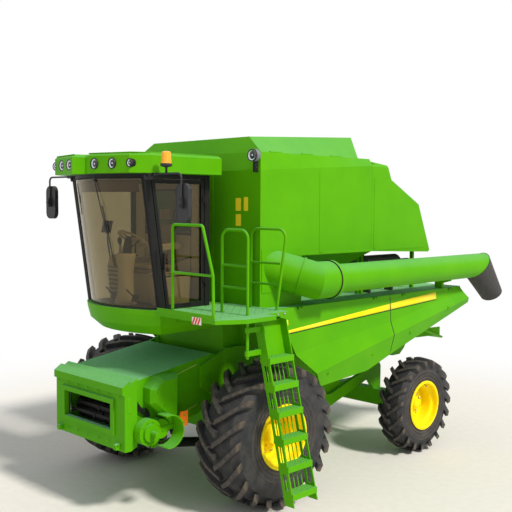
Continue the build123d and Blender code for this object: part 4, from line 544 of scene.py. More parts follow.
# Oil hoses from the quick coupler behind the frame down into the guard's gap.
hoses = []
for k, z in enumerate((1350, 1395, 1440)):
    hoses.append(tube([(715, -1600, z), (735, -1520, z + 16), (728, -1420, z - 60 - 30 * k),
                       (716, -1330, z - 120), (716, -1290, z - 220)], 12, 50, 8))
    hoses.append(turned((715, -1612, z), (0, 1, 0), [(0, 15), (26, 15), (30, 19), (60, 19)], 10))
make_piece("oil_hoses", hoses, black_enamel, "feeder")
make_piece("coupler_plate",
           [prism([(-1640, 1310), (-1590, 1310), (-1590, 1500), (-1640, 1480)], 0, 700, 752)],
           green_enamel, "feeder", 4)

# The chute's pressed ribs carry pale strips: a painted highlight where light catches the ribs.
rib_highlight_enamel = enamel("green_enamel_rib_highlight", "#8CB43C", "#9CC04C", "#A8C080", 0.5, 0.4)
strips = []
for side in (-1, 1):
    near = on_side(side, 699.5, 702)[0]
    for low, high in ((1637, 1737), (1108, 1217)):
        strips.append(prism([(-896, low + 4), (-524, high + 2), (-524, high + 18),
                             (-896, low + 18)], 0, near, near + 2.5))
make_piece("chute_rib_highlight_strips", strips, rib_highlight_enamel, "feeder")

# Orange marker plate on a strap under the chute, behind the half-round guard.
orange_enamel = enamel("orange_enamel", "#F07A1E", "#F48A34", "#C9A27A")
make_piece("marker_plate",
           [prism([(-925, 1040), (-795, 1040), (-795, 1227), (-925, 1227)], 0, 846, 850)],
           orange_enamel, "feeder", 1)
strap = [bar_between(690, 846, -880, -840, 1196, 1202),
         prism([(-880, 1060), (-840, 1060), (-840, 1202), (-880, 1202)], 0, 840, 846)]
make_piece("marker_strap", strap + bolts([(850, -860, 1090), (850, -860, 1180)], (1, 0, 0), 16),
           green_enamel, "feeder")

# Guards of the header drive: bolts round the half-round guard and round its case.
guard_bolts = bolts([(882, -1290, 1540), (882, -1020, 1600), (882, -1020, 1300),
                     (882, -1180, 1360)], (1, 0, 0), 20)
make_piece("guard_bolts", guard_bolts, green_enamel, "feeder")
CASE_BOLTS = 10
make_piece("case_bolts", bolts([about_x(879, -1400, 1065, 132, 2 * math.pi * k / CASE_BOLTS)
                                for k in range(CASE_BOLTS)], (1, 0, 0)),
           green_enamel, "feeder")


# ---- Side shields: pressed sheet steel under green enamel, with a yellow stripe and a thin dark
# line under it, both of film that is laid on by hand.
BAND_COLUMNS = 28
BAND_ROWS = 4
BAND_PROUD = 2.0
BAND_THICKNESS = 0.0012


def laid_band(name, shield, ends, film, body, side):
    """A thin film laid on a CAD surface. Each end gives its y, the band's upper z and its
    lower z; the film is cast on the surface in columns."""
    trees = surface_of(shield)
    (y0, top0, low0), (y1, top1, low1) = ends
    points = []
    for i in range(BAND_COLUMNS + 1):
        t = i / BAND_COLUMNS
        y = y0 + (y1 - y0) * t
        top = top0 + (top1 - top0) * t
        low = low0 + (low1 - low0) * t
        for j in range(BAND_ROWS + 1):
            z = top + (low - top) * j / BAND_ROWS
            x = cast_x(trees, y, z, side)
            points.append((None if x is None else x + side * BAND_PROUD, y, z))
    # the cast misses the shield along the film's front end, which stands at the others' mean
    known = [x for x, y, z in points if x is not None]
    mean = sum(known) / len(known)
    points = [(mean if x is None else x, y, z) for x, y, z in points]
    pitch = BAND_ROWS + 1
    faces = [(i * pitch + j, (i + 1) * pitch + j, (i + 1) * pitch + j + 1, i * pitch + j + 1)
             for i in range(BAND_COLUMNS) for j in range(BAND_ROWS)]
    piece = make_piece(name, [(points, faces)], film, body)
    thick = piece.modifiers.new("thickness", "SOLIDIFY")
    thick.thickness = BAND_THICKNESS


yellow_film = enamel("yellow_film_laid", "#FFE200", "#FFE84A", "#D8CC90")
black_film = enamel("black_film_laid", "#202420", "#2A2E2A", "#6A6A5E")


# y and z of the ends of the stripe's upper edge, its width at the front and how it widens
STRIPE_START, STRIPE_END = (198, 2188), (3663, 2443)
STRIPE_WIDTH = 34
STRIPE_FLARE = 0.022
LINE_FROM, LINE_TO = 6, 16


def stripe_at(y, down):
    """The height of the stripe's upper edge at a length, moved down by a distance."""
    slope = (STRIPE_END[1] - STRIPE_START[1]) / (STRIPE_END[0] - STRIPE_START[0])
    return STRIPE_START[1] + (y - STRIPE_START[0]) * slope - down


for word, side in SIDES:
    for end, y0, y1 in (("front", 200, 2452), ("rear", 2470, 3663)):
        wide0, wide1 = (STRIPE_WIDTH + (y - STRIPE_START[0]) * STRIPE_FLARE for y in (y0, y1))
        bands = (("stripe", (0, wide0), (0, wide1), yellow_film, "yellow_paint"),
                 ("stripe_line", (wide0 + LINE_FROM, wide0 + LINE_TO),
                  (wide1 + LINE_FROM, wide1 + LINE_TO), black_film, "black_paint"))
        for band, downs0, downs1, film, slot in bands:
            laid_band("%s_%s_%s" % (end, band, word), "shield_%s_%s" % (end, word),
                      [(y, *(stripe_at(y, down) for down in downs))
                       for y, downs in ((y0, downs0), (y1, downs1))],
                      film, "%s_%s_shield" % (end, word), side)


# ---- Driver's cab: black-enamelled posts, panes of tinted toughened glass held in rubber seals,
# and a trim of grained beige plastic.
def clear_sheet(tree, index, tint, gleam, relief):
    """A thin clear sheet: it lets rays through unbent and reflects more the flatter it is
    seen. Its index is turned over on inner faces, which rays reach here without a bend."""
    clear = node(tree, "ShaderNodeBsdfTransparent", {"Color": linear(tint)})
    gloss = node(tree, "ShaderNodeBsdfGlossy", gleam, relief)
    face = node(tree, "ShaderNodeNewGeometry")
    index_of = ranged(tree, face.outputs["Backfacing"], to_low=index, to_high=1 / index)
    share = node(tree, "ShaderNodeFresnel", links={"IOR": index_of, **relief})
    ends_in(tree, None, {0: share.outputs[0], 1: clear.outputs[0], 2: gloss.outputs[0]},
            "ShaderNodeMixShader")


tinted_glass, tree = new_material("tinted_glass_toughened")
clear_sheet(tree, 1.45, "#D0CBB9", {"Color": linear("#F4EEE0"), "Roughness": 0.02}, {})
dress("windscreen cab_glass door_glass", tinted_glass)


def moulded_plastic(name, colour, shade, roughness=0.55, relief_of=0.25):
    """Injection-moulded plastic with a fine leather grain: an even colour, a soft sheen and
    small pits of about 1.5 mm, drawn a little coarse so that they show."""
    material, tree = new_material(name)
    cells = pattern(tree, "ShaderNodeTexVoronoi", {"Scale": 420.0})
    clouds = pattern(tree, "ShaderNodeTexNoise", {"Scale": 6.0, "Detail": 3.0})
    tone = blend(tree, clouds.outputs["Fac"], colour, shade)
    relief = relief_in(tree, cells.outputs["Distance"], relief_of, 0.0008)
    ends_in(tree, {"Roughness": roughness, "IOR": 1.46},
            {"Base Color": tone, "Normal": relief})
    return material


beige_trim = moulded_plastic("abs_beige_grained", "#F0E6D2", "#E4D8C0")
grey_trim = moulded_plastic("abs_grey_grained", "#7C8288", "#6C7278")
black_plastic = moulded_plastic("pp_black_grained", "#1E1F21", "#2A2B2D", 0.5)


def beige_part(name, shapes, bevel=0.0, smooth=False):
    """A piece of the cab's trim in beige plastic, clipped or screwed on."""
    return make_piece(name, shapes, beige_trim, "chassis", bevel, smooth)


def black_part(name, shapes, bevel=0.0, smooth=False):
    """A small fitting in black plastic on the cab."""
    return make_piece(name, shapes, black_plastic, "chassis", bevel, smooth)


# the rear wall's trim is darker than the other trim: painted shade inside the cab
shaded_wall_trim = moulded_plastic("abs_grained_painted_shade", "#A2957C", "#92856C")
dress("cab_rear_wall", shaded_wall_trim)
dress("seat_base console", beige_trim)
dress("mirrors", black_plastic)


def rubber(name, colour, bloom):
    """Extruded or moulded rubber: dark and dull, with a greyish bloom in patches of 60 mm."""
    material, tree = new_material(name)
    cloud = pattern(tree, "ShaderNodeTexNoise", {"Scale": 16.0, "Detail": 6.0})
    tone = blend(tree, cloud.outputs["Fac"], colour, bloom)
    relief = relief_in(tree, cloud.outputs["Fac"], 0.2, 0.001)
    ends_in(tree, {"Roughness": 0.72, "IOR": 1.5},
            {"Base Color": tone, "Normal": relief})
    return material


seal_rubber = rubber("epdm_rubber_extruded", "#141516", "#242424")


# y and z of the windscreen's foot at its posts, its rake, its bow and its half width
SCREEN_Y, SCREEN_Z = -1120, 2500
SCREEN_RAKE = 240 / 1650
SCREEN_BOW, SCREEN_HALF = 260, 780


def screen_y(x, z):
    """The outer face of the bowed, raked windscreen."""
    return SCREEN_Y - (z - SCREEN_Z) * SCREEN_RAKE - SCREEN_BOW * (1 - (x / SCREEN_HALF) ** 2)


# Windscreen seals: an extruded bead along the foot and the head of the pane, and one down each
# post.
seals = [tube([(x, screen_y(x, z) - 4, z) for x in range(-720, 721, 60)], 9, 0, 6)
         for z in (2506, 4094)]
seals += [tube([(x, screen_y(x, z) - 6, z) for z in (2506, 3300, 4094)], 9, 0, 6)
          for x in (-716, 716)]
make_piece("windscreen_seals", seals, seal_rubber, "chassis")
door_seal = [(-1052, 2562), (-516, 2562), (-516, 4038), (-1264, 4038), (-1052, 2562)]
make_piece("door_seal", [tube([(782, y, z) for y, z in door_seal], 7, 0, 6)], seal_rubber, "door")

# Wiper: a black arm from its spindle under the windscreen's head, with a rubber blade.
wiper = [tube([(60, screen_y(60, 4080) - 14, 4080), (140, screen_y(140, 3750) - 34, 3750),
               (180, screen_y(180, 3420) - 22, 3420)], 7, 40, 8)]
wiper.append(tube([(150, screen_y(150, 3750) - 16, 3760), (205, screen_y(205, 3300) - 16, 3300),
                   (230, screen_y(230, 3020) - 14, 3020)], 8, 0, 6))
wiper.append(turned((60, screen_y(60, 4080) + 2, 4080), (0, -1, 0), [(0, 26), (22, 26), (30, 18)],
                    16))
black_part("wiper", wiper)

# Headlining: a padded tray under the roof with a sun blind rolled at its front edge.
front_line = [(x, screen_y(x, 4080) + 70) for x in range(-700, 701, 140)]
beige_part("headlining",
           [prism(front_line + [(700, -400), (-700, -400)], 2, 4088, 4100)], 4)
blind = [tube([(x, screen_y(x, 4050) + 60, 4052) for x in range(-640, 641, 80)], 26, 0, 10)]
points = []
for x in range(-640, 641, 80):
    points.append((x, screen_y(x, 4050) + 40, 4050))
    points.append((x, screen_y(x, 3930) + 40, 3930))
faces = [(2 * i, 2 * i + 2, 2 * i + 3, 2 * i + 1) for i in range(len(points) // 2 - 1)]
blind_cloth = moulded_plastic("blind_film_brown", "#8A6B45", "#7A5C38", 0.6, 0.1)
blind.append((points, faces))
make_piece("sun_blind", blind, blind_cloth, "chassis")

# Rear wall trim: three beige panels round the window, and the window's rubber seal.
panels = ((-690, -485, 4060), (485, 690, 4060), (-470, 470, 3380))
beige_part("rear_wall_trim",
           [bar_between(x0, x1, -436, -424, 2560, top) for x0, x1, top in panels], 8)
strips = ((-490, -466, 3400, 3984), (466, 490, 3400, 3984), (-490, 490, 3388, 3412),
          (-490, 490, 3960, 3984))
make_piece("rear_window_seal",
           [bar_between(x0, x1, -432, -420, z0, z1) for x0, x1, z0, z1 in strips],
           seal_rubber, "chassis", 4)

# Floor mat: ribbed rubber, loose on the floor.
mat = [prism([(-700, -480), (-700, -1040), (-420, -1200), (0, -1290), (420, -1200),
              (700, -1040), (700, -480)], 2, 2501, 2508)]
for x in range(-660, 661, 40):
    mat.append(bar_between(x - 6, x + 6, -1010, -560, 2507, 2511))
floor_rubber = rubber("floor_mat_ribbed", "#2A2622", "#3B342C")
make_piece("floor_mat", mat, floor_rubber, "chassis")

# Steering column: a flared beige shroud round the tube, a tilting neck with its lever, and a
# moulded wheel on three spokes.
shroud = [turned((0, -1120, 2502), (0, 0.02, 1), [(0, 150), (40, 138), (160, 105), (420, 98),
                                                (560, 112), (640, 128), (655, 118)], 28)]
beige_part("column_shroud", shroud, smooth=True)
neck = [turned((0, -1095, 3150), (0, 0.14, 1), [(0, 62), (90, 58), (180, 46), (215, 40)], 20),
        tube([(40, -1090, 3230), (130, -1080, 3260), (190, -1070, 3300)], 9, 30, 8),
        turned((190, -1070, 3300), (0.5, 0.1, 0.7), [(0, 9), (6, 17), (26, 20), (38, 12)], 14)]
black_part("column_neck", neck, smooth=True)
wheel_tilt = Vector((0, 0.5, 0.87)).normalized()
wheel_mid = Vector((0, -1010, 3330)) + wheel_tilt * 12
across = Vector((1, 0, 0))
over = wheel_tilt.cross(across)
ring = [tuple(wheel_mid + (across * math.cos(2 * math.pi * k / 40)
                           + over * math.sin(2 * math.pi * k / 40)) * 192) for k in range(41)]
wheel_shapes = [tube(ring, 15, 0, 12)]
for k in range(3):
    turn = 2 * math.pi * k / 3 + math.pi / 6
    far = wheel_mid + (across * math.cos(turn) + over * math.sin(turn)) * 185
    near = wheel_mid + (across * math.cos(turn) + over * math.sin(turn)) * 40 - wheel_tilt * 14
    wheel_shapes.append(tube([tuple(near), tuple(far)], 11, 0, 8))
wheel_shapes.append(turned(tuple(wheel_mid - wheel_tilt * 26), tuple(wheel_tilt),
                           [(0, 46), (14, 56), (30, 52), (38, 36), (41, 8)], 24))
beige_part("steering_wheel_rim", wheel_shapes, smooth=True)
dress("steering", beige_trim)

# Pedals: two hung plates with ribbed rubber pads, left and right of the column.
for word, x in (("left", 210), ("right", -230)):
    pads = [tube([(x, -1260, 2720), (x, -1180, 2650), (x, -1130, 2600)], 10, 20, 8),
            prism([(-1150, 2560), (-1140, 2552), (-1095, 2640), (-1105, 2648)], 0, x - 55, x + 55)]
    pads += [bar_between(x - 50, x + 50, -1145 + k * 10, -1136 + k * 10, 2562 + k * 19,
                         2570 + k * 19) for k in range(5)]
    black_part("pedal_" + word, pads, 1)

# Console beside the seat: a beige box with a slatted grey grille on its front, a leaning top
# with switches, the drive lever and a monitor on a stalk.
slats = []
for k in range(7):
    z = 2600 + k * 58
    y = -962 - 3 - (z - 2500) * 40 / 460
    slats.append(prism([(y - 22, z), (y + 4, z + 8), (y + 4, z + 20), (y - 24, z + 10)], 0, -548,
                       -312))
make_piece("console_slats", slats, grey_trim, "chassis", 2)
# three columns of four switches
console_bits = [bar_between(x, x + 26, y, y + 34, 3078, 3094)
                for x in range(-520, -447, 36) for y in range(-760, -627, 44)]
console_bits.append(tube([(-436, -884, 3190), (-436, -890, 3250)], 12, 0, 10))
console_bits.append(turned((-436, -890, 3250), (0, -0.1, 1),
                           [(0, 14), (14, 26), (60, 30), (84, 22), (92, 8)], 18))
console_bits.append(tube([(-600, -930, 3060), (-640, -950, 3300), (-610, -960, 3420)], 12, 60, 8))
console_bits.append(prism([(-1010, 3400), (-990, 3400), (-950, 3560), (-972, 3560)], 0,
                          -700, -500))
black_part("console_controls", console_bits, 3)
screen_glass = enamel("display_glass_dark", "#10161A", "#182026", "#30363A", 0.2, 0.0)
make_piece("monitor_screen", [prism([(-1012, 3412), (-1010, 3412), (-974, 3552), (-977, 3552)], 0,
                                    -690, -510)], screen_glass, "chassis")
beige_part("armrest_left", [prism([(-880, 3190), (-470, 3200), (-460, 3260), (-520, 3290),
                                   (-860, 3262)], 0, 258, 330)], 14)

# Lid of the locker beside the door, with its black catch.
beige_part("locker_lid", [bar_between(322, 608, -1000, -534, 2894, 2918)], 6)
black_part("locker_catch", [bar_between(440, 500, -1008, -998, 2870, 2912)], 3)


# Seat: foam cushions under woven cloth, with piped seams and sewn channels. Each is a shell
# that air pressure swells in a cloth simulation.
woven_cloth, tree = new_material("polyester_cloth_woven")
# threads of about 3 mm each way
warp, weft = (pattern(tree, "ShaderNodeTexWave", {"Scale": 90.0, "Distortion": 0.4},
                      bands_direction=along) for along in "XZ")
weave = node(tree, "ShaderNodeMath", links={0: warp.outputs["Fac"], 1: weft.outputs["Fac"]},
             operation="MULTIPLY")
tone = blend(tree, weave.outputs[0], "#A8977A", "#C9B794")
relief = relief_in(tree, weave.outputs[0], 0.3, 0.001)
ends_in(tree, {"Roughness": 0.9, "IOR": 1.45, "Sheen Weight": 0.3, "Sheen Roughness": 0.5},
        {"Base Color": tone, "Normal": relief})


def cushion(name, low, high, lean, channels, cap):
    """A cushion from a box in millimetres, leaned back from its foot, swollen by simulation,
    with channels sewn across its face at heights given as shares."""
    columns, rows, layers = 12, 12, 5
    cage = bmesh.new()
    bmesh.ops.create_cube(cage, size=1.0)
    for edge_axis, cuts in ((0, columns), (1, layers), (2, rows)):
        along = [e for e in cage.edges
                 if abs((e.verts[0].co - e.verts[1].co)[edge_axis]) > 0.01]
        bmesh.ops.subdivide_edges(cage, edges=along, cuts=cuts - 1, use_grid_fill=True)
    size = Vector(high) - Vector(low)
    for vert in cage.verts:
        share_of = vert.co + Vector((0.5, 0.5, 0.5))
        pull = 1 - 0.05 * (abs(2 * share_of.x - 1) ** 4) - 0.05 * (abs(2 * share_of.z - 1) ** 4)
        x = low[0] + size.x * (0.5 + (share_of.x - 0.5) * pull)
        y = low[1] + size.y * (0.5 + (share_of.y - 0.5) * pull)
        z = low[2] + size.z * (0.5 + (share_of.z - 0.5) * pull)
        vert.co = at(x, y + lean * (z - low[2]), z)
    mesh = bpy.data.meshes.new(name)
    cage.to_mesh(mesh)
    cage.free()
    pad = bpy.data.objects.new(name, mesh)
    bpy.context.scene.collection.objects.link(pad)
    before = [v.co.copy() for v in mesh.vertices]
    cloth = pad.modifiers.new("swell", "CLOTH")
    cloth.settings.use_pressure = True
    cloth.settings.uniform_pressure_force = 4.0
    cloth.settings.effector_weights.gravity = 0.0
    cloth.settings.quality = 5
    cloth.point_cache.frame_start = 1
    cloth.point_cache.frame_end = 20
    for step in range(1, 21):
        bpy.context.scene.frame_set(step)
    shaped = pad.evaluated_get(bpy.context.evaluated_depsgraph_get()).to_mesh()
    swollen = [v.co.copy() for v in shaped.vertices]
    pad.modifiers.remove(cloth)
    for vert, start, end in zip(mesh.vertices, before, swollen):
        move = end - start
        if move.length > cap / 1000:
            move = move.normalized() * cap / 1000
        vert.co = start + move
    bpy.context.scene.frame_set(1)
    smoother = pad.modifiers.new("smooth", "SUBSURF")
    smoother.levels = smoother.render_levels = 2
    # channels are pressed in after the swelling, each about 14 mm wide and 9 mm deep
    for vert in mesh.vertices:
        z = vert.co.z * 1000
        x = (vert.co.x - MACHINE_ORIGIN.x) * 1000
        for level_at in channels:
            line = low[2] + size.z * level_at
            near = math.exp(-((z - line) / 12) ** 2)
            if abs(x - (low[0] + high[0]) / 2) < size.x * 0.42:
                vert.co.y += 0.009 * near
    mesh.polygons.foreach_set("use_smooth", [True] * len(mesh.polygons))
    mesh.materials.append(woven_cloth)
    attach(pad, "chassis")
    return pad


seat_cushion = cushion("seat_cushion", (-228, -912, 2892), (228, -482, 2998), 0.0, (), 14)
cushion("seat_back", (-216, -550, 3024), (216, -480, 3540), 0.10, (0.3, 0.6, 0.85), 14)
cushion("seat_headrest", (-124, -480, 3576), (124, -446, 3724), 0.06, (), 10)
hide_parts("seat_pads")
PIPING_Z = 2952
piping = tube([(x, y, PIPING_Z) for x, y in ((-232, -480), (-232, -905), (-205, -925),
                                             (205, -925), (232, -905), (232, -480))], 5, 22, 6)
make_piece("seat_piping", [piping], black_plastic, "chassis")


# ---- Locker beside the door: a moulded beige box on the cab's floor, under the lid above.
beige_part("side_locker",
           [prism([(-960, 2502), (-560, 2502), (-540, 2880), (-990, 2870)], 0, 330, 600)], 12)


# ---- Cab roof: a moulded cap in green enamel with a seam, and round lamps with a black bezel,
# a vapour-coated reflector and a clear fluted lens.
clear_lens, tree = new_material("polycarbonate_clear_fluted")
# flutes of about 6 mm
flutes = pattern(tree, "ShaderNodeTexWave", {"Scale": 26.0}, bands_direction="X")
relief = relief_in(tree, flutes.outputs["Fac"], 0.5, 0.003)
clear_sheet(tree, 1.58, "#F4F6F8", {"Roughness": 0.06}, {"Normal": relief})

reflector, tree = new_material("aluminium_vapour_coated")
facets = pattern(tree, "ShaderNodeTexVoronoi", {"Scale": 60.0})
relief = relief_in(tree, facets.outputs["Distance"], 0.6, 0.004)
ends_in(tree, {"Metallic": 1.0, "Roughness": 0.12, "Base Color": linear("#E4E7EA")},
        {"Normal": relief})
LAMP_SIDES = 28
roof_front = -1790


def round_lamp(name, centre, radius):
    """A round work lamp that looks ahead: bezel, dished reflector with its bulb, and a domed
    lens. The bezel is open at both ends, the other two at their rim."""
    bezel, dish, dome = (turned(centre, (0, -1, 0), profile, LAMP_SIDES) for profile in (
        [(-6, radius), (10, radius + 3), (16, radius - 3), (12, radius - 9), (6, radius - 10)],
        [(8, radius - 8), (2, radius - 16), (-2, radius * 0.5), (-3, radius * 0.16),
         (6, radius * 0.14), (9, radius * 0.06)],
        [(9, radius - 9), (14, radius * 0.72), (17, radius * 0.4), (18, radius * 0.05)]))
    black_part(name + "_bezel", [(bezel[0], bezel[1][:-2])], smooth=True)
    for word, (points, faces), material in (("_reflector", dish, reflector),
                                            ("_lens", dome, clear_lens)):
        make_piece(name + word, [(points, faces[:-2] + faces[-1:])], material, "chassis",
                   smooth=True)


for word, side in SIDES:
    for k, (x, radius) in enumerate(((270, 66), (540, 66), (800, 50))):
        y = roof_front + (x - 160) * 150 / 640
        round_lamp("roof_lamp_%s_%d" % (word, k + 1), (side * x, y + 8, 4262), radius)
    round_lamp("corner_lamp_" + word, (side * 1290, -128, 4400), 76)
    make_piece("corner_lamp_shell_" + word,
               [turned((side * 1290, -70, 4400), (0, 1, 0), [(-50, 79), (0, 79), (34, 62),
                                                             (44, 30)], 24)]
               + bolts([(side * 1290, -61, 4250)], (0, -1, 0), 24), grey_trim, "chassis",
               smooth=True)

# Roof trim: a raised seam round the cap and a gutter on each side, both enamelled.
seam = []
gutter = []
for side in (-1, 1):
    seam.append(tube([(side * 160, roof_front + 30, 4386), (side * 800, roof_front + 175, 4386),
                      (side * 918, roof_front + 378, 4386), (side * 918, -352, 4386)], 7, 30, 6))
    gutter.append(prism([(-1400, 4152), (-340, 4152), (-340, 4168), (-1400, 4168)], 0,
                        *on_side(side, 946, 956)))
green_part("roof_seam", seam, smooth=True)
green_part("roof_gutters", gutter, 3)

# Beacon: an amber ribbed dome on a black foot, over its socket on the mirror arm.
amber_dome, tree = new_material("acrylic_amber_moulded")
glow = pattern(tree, "ShaderNodeTexNoise", {"Scale": 30.0, "Detail": 2.0})
tone = blend(tree, glow.outputs["Fac"], "#F59A00", "#FFC234")
ends_in(tree, {"Roughness": 0.12, "IOR": 1.49, "Subsurface Weight": 0.25,
               "Subsurface Scale": 0.03}, {"Base Color": tone})
BEACON_X, BEACON_Y = 1130, -1360
DOME_RIBS = 9
dome_profile = [(0, 66)]
for k in range(DOME_RIBS):
    dome_profile += [(6 + k * 13, 65 - k * 1.1), (13 + k * 13, 62.5 - k * 1.1)]
dome_profile += [(126, 53), (136, 40), (141, 16)]
dome = make_piece("beacon_dome", [turned((BEACON_X, BEACON_Y, 4255), (0, 0, 1), dome_profile, 32)],
                  amber_dome, "chassis")
black_part("beacon_foot",
           [turned((BEACON_X, BEACON_Y, 4150), (0, 0, 1),
                   [(0, 14), (56, 14), (64, 30), (70, 60), (76, 67), (96, 69), (104, 66)], 32)],
           smooth=True)
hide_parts("beacon")

# Mirrors: a black moulded shell with a rolled rim, a silvered glass and a clamp on the arm.
mirror_glass, tree = new_material("mirror_glass_silvered")
smears = pattern(tree, "ShaderNodeTexNoise", {"Scale": 12.0, "Detail": 5.0})
sheen = ranged(tree, smears.outputs["Fac"], low=0.4, to_low=0.02, to_high=0.14)
ends_in(tree, {"Metallic": 1.0, "Base Color": linear("#C9D2C6")}, {"Roughness": sheen})


def rounded_outline(middle_x, middle_z, width, height, radius, steps=6):
    """A rounded rectangle's corners, across and up."""
    outline = []
    for corner, (sx, sz) in enumerate(((1, 1), (-1, 1), (-1, -1), (1, -1))):
        for k in range(steps + 1):
            turn = math.pi / 2 * (corner + k / steps)
            outline.append((middle_x + sx * (width / 2 - radius) + radius * math.cos(turn),
                            middle_z + sz * (height / 2 - radius) + radius * math.sin(turn)))
    return outline


MIRROR_X, MIRROR_Z = 1400, 3800
for word, side in SIDES:
    x = side * MIRROR_X
    glass_face = prism(rounded_outline(x, MIRROR_Z, 205, 420, 72), 1, -1302, -1300)
    make_piece("mirror_glass_" + word, [glass_face], mirror_glass, "chassis")
    rim_line = rounded_outline(x, MIRROR_Z, 222, 437, 80)
    rim_line.append(rim_line[0])
    black_part("mirror_rim_" + word, [tube([(px, -1303, pz) for px, pz in rim_line], 5, 0, 6),
                                      tube([(px, -1348, pz) for px, pz in rim_line], 4, 0, 6)],
               smooth=True)
    clamp = [bar_between(x - 22, x + 22, -1388, -1346, 3740, 3860),
             turned((x, -1390, MIRROR_Z), (0, -1, 0), [(0, 30), (12, 30), (20, 20)], 16)]
    clamp += bolts([(x, -1388, 3752), (x, -1388, 3848)], (0, -1, 0), 14)
    black_part("mirror_clamp_" + word, clamp, 3)
    bracket = [prism([(-1400, 4072), (-1310, 4072), (-1290, 4130), (-1420, 4130)], 0,
                     *on_side(side, 782, 812)),
               turned((side * 930, -1360, 4138), (side, 0, 0), [(-40, 20), (0, 24), (30, 18)], 14)]
    black_part("mirror_bracket_" + word, bracket, 3)

# Door: a black pull handle with its lock, and a grab rail inside the pane.
door_shapes = [tube([(800, -1010, 2960), (826, -1004, 2990), (832, -1010, 3140),
                     (804, -1020, 3180)], 11, 20, 8),
               turned((800, -1000, 2930), (1, 0, 0), [(-10, 22), (6, 22), (12, 16)], 16)]
make_piece("door_handle", door_shapes, black_plastic, "door", smooth=True)
make_piece("door_grab_rail", [tube([(730, -1040, 3060), (700, -1040, 3060), (700, -640, 3120),
                                    (730, -640, 3120)], 11, 24, 8)], black_plastic, "door",
           smooth=True)


# ---- Platform and ladder: folded and welded steel under green enamel; the platform's top is
# checker plate, and the treads have punched collars that grip boots.
CHECKER_X, CHECKER_Y = (815, 62), (-1215, 68)
checker = []
for i in range(16):
    for j in range(17):
        x = CHECKER_X[0] + i * CHECKER_X[1]
        y = CHECKER_Y[0] + j * CHECKER_Y[1]
        # the rows end at the tank's foot, and the outer front corner is cut off
        if y > -90 or (x > 1780 and y < -1150):
            continue
        lean = 1 if (i + j) % 2 else -1
        checker.append(([(x - 22, y - lean * 14, 2500), (x + 22, y + lean * 14, 2500),
                         (x + 3, y - lean * 6, 2502.5), (x - 3, y + lean * 6, 2502.5)],
                        [(0, 2, 3), (0, 1, 2), (1, 3, 2), (0, 3, 1)]))
green_part("platform_checker", checker)
green_part("platform_toe_board", [bar_between(815, 1838, -1252, -1246, 2500, 2550)], 2)
make_piece("platform_bolts",
           bolts([(1851, y, 2476) for y in (-1180, -240, -120)], (1, 0, 0), 20),
           zinc_bolts, "chassis")

# The ladder's rails lean out from their head to their foot: x and z of each end.
tread_shapes = []
HEAD_X, HEAD_Z = 1690, 2405
FOOT_X, FOOT_Z = 2220, 300
TREAD_TOP_Z = 1985
step_pitch = (TREAD_TOP_Z - FOOT_Z) / 5.5
for k in range(6):
    z = TREAD_TOP_Z - k * step_pitch
    x = HEAD_X + (FOOT_X - HEAD_X) / (HEAD_Z - FOOT_Z) * (HEAD_Z - z) + 4
    for i in range(3):
        for j in range(9):
            tread_shapes.append(turned((x + 30 + i * 50, -450 + j * 45, z), (0, 0, 1),
                                       [(0, 13), (5, 11), (5, 7), (1, 6)], 8))
make_piece("ladder_tread_grips", tread_shapes, green_enamel, "boarding_ladder")

# Reflector under the platform's edge: a plate with red and white film, on two spacers.
red_film = enamel("red_film_reflective", "#D8361E", "#E04A30", "#B89A8C", 0.3, 0.05)
white_film = enamel("white_film_reflective", "#ECEAE2", "#F4F2EC", "#CFC8B8", 0.3, 0.05)
make_piece("reflector_plate", [bar_between(1468, 1628, -1262, -1257, 2422, 2506),
                               bar_between(1490, 1510, -1257, -1240, 2450, 2475),
                               bar_between(1586, 1606, -1257, -1240, 2450, 2475)],
           white_film, "chassis", 2)
bands = [prism([(x, 2424), (x + 24, 2424), (x + 62, 2504), (x + 38, 2504)], 1, -1265, -1262)
         for x in (1470, 1516, 1562)]
make_piece("reflector_bands", bands, red_film, "chassis")


# ---- Grain tank: folded sheet with a rolled rim, pressed fold lines, a hatch, blank warning
# plates on its front and a row of rivets down each corner.
def blank_plate(name, x0, x1, z0, z1):
    """A plate of bare yellow film on the tank's front wall, with rounded corners."""
    outline = rounded_outline((x0 + x1) / 2, (z0 + z1) / 2, x1 - x0, z1 - z0, 8, 3)
    make_piece(name, [prism(outline, 1, -44, -40.5)], yellow_film, "chassis")


blank_plate("plate_upper_left", 905, 1000, 3706, 3870)
blank_plate("plate_upper_right", 1056, 1130, 3706, 3882)
blank_plate("plate_lower", 908, 1002, 3514, 3664)

green_part("tank_rivets", [turned((side * 1350, y, z), (side, 0, 0), [(0, 9), (3, 8), (5, 4)], 10)
                           for side in (-1, 1) for y in (-18, 2224)
                           for z in range(3200, 4160, 160)], smooth=True)
seams = []
for side in (-1, 1):
    # a lap seam half way along, and a fold line above the skirt
    low, high = on_side(side, 1350, 1354)
    seams.append(bar_between(low, high, 1090, 1150, 3140, 4270))
    seams.append(bar_between(low, high, -30, 2244, 3118, 3150))
for x in (-450, 450):
    seams.append(bar_between(x - 30, x + 30, -46, -40, 2560, 4200))
green_part("tank_seams", seams, 2)
hatch = [bar_between(-300, 300, -50, -40, 3560, 4060)]
hatch += bolts([(-280, -50, 3580), (280, -50, 3580), (-280, -50, 4040), (280, -50, 4040)],
               (0, -1, 0), 18)
green_part("tank_hatch", hatch, 4)

# Extension: three hinge barrels along the rim on each side.
green_part("extension_hinges", [turned((side * 1282, y, 4456), (0, 1, 0), [(0, 11), (220, 11)], 10)
                                for y in (190, 790, 1390) for side in (-1, 1)])


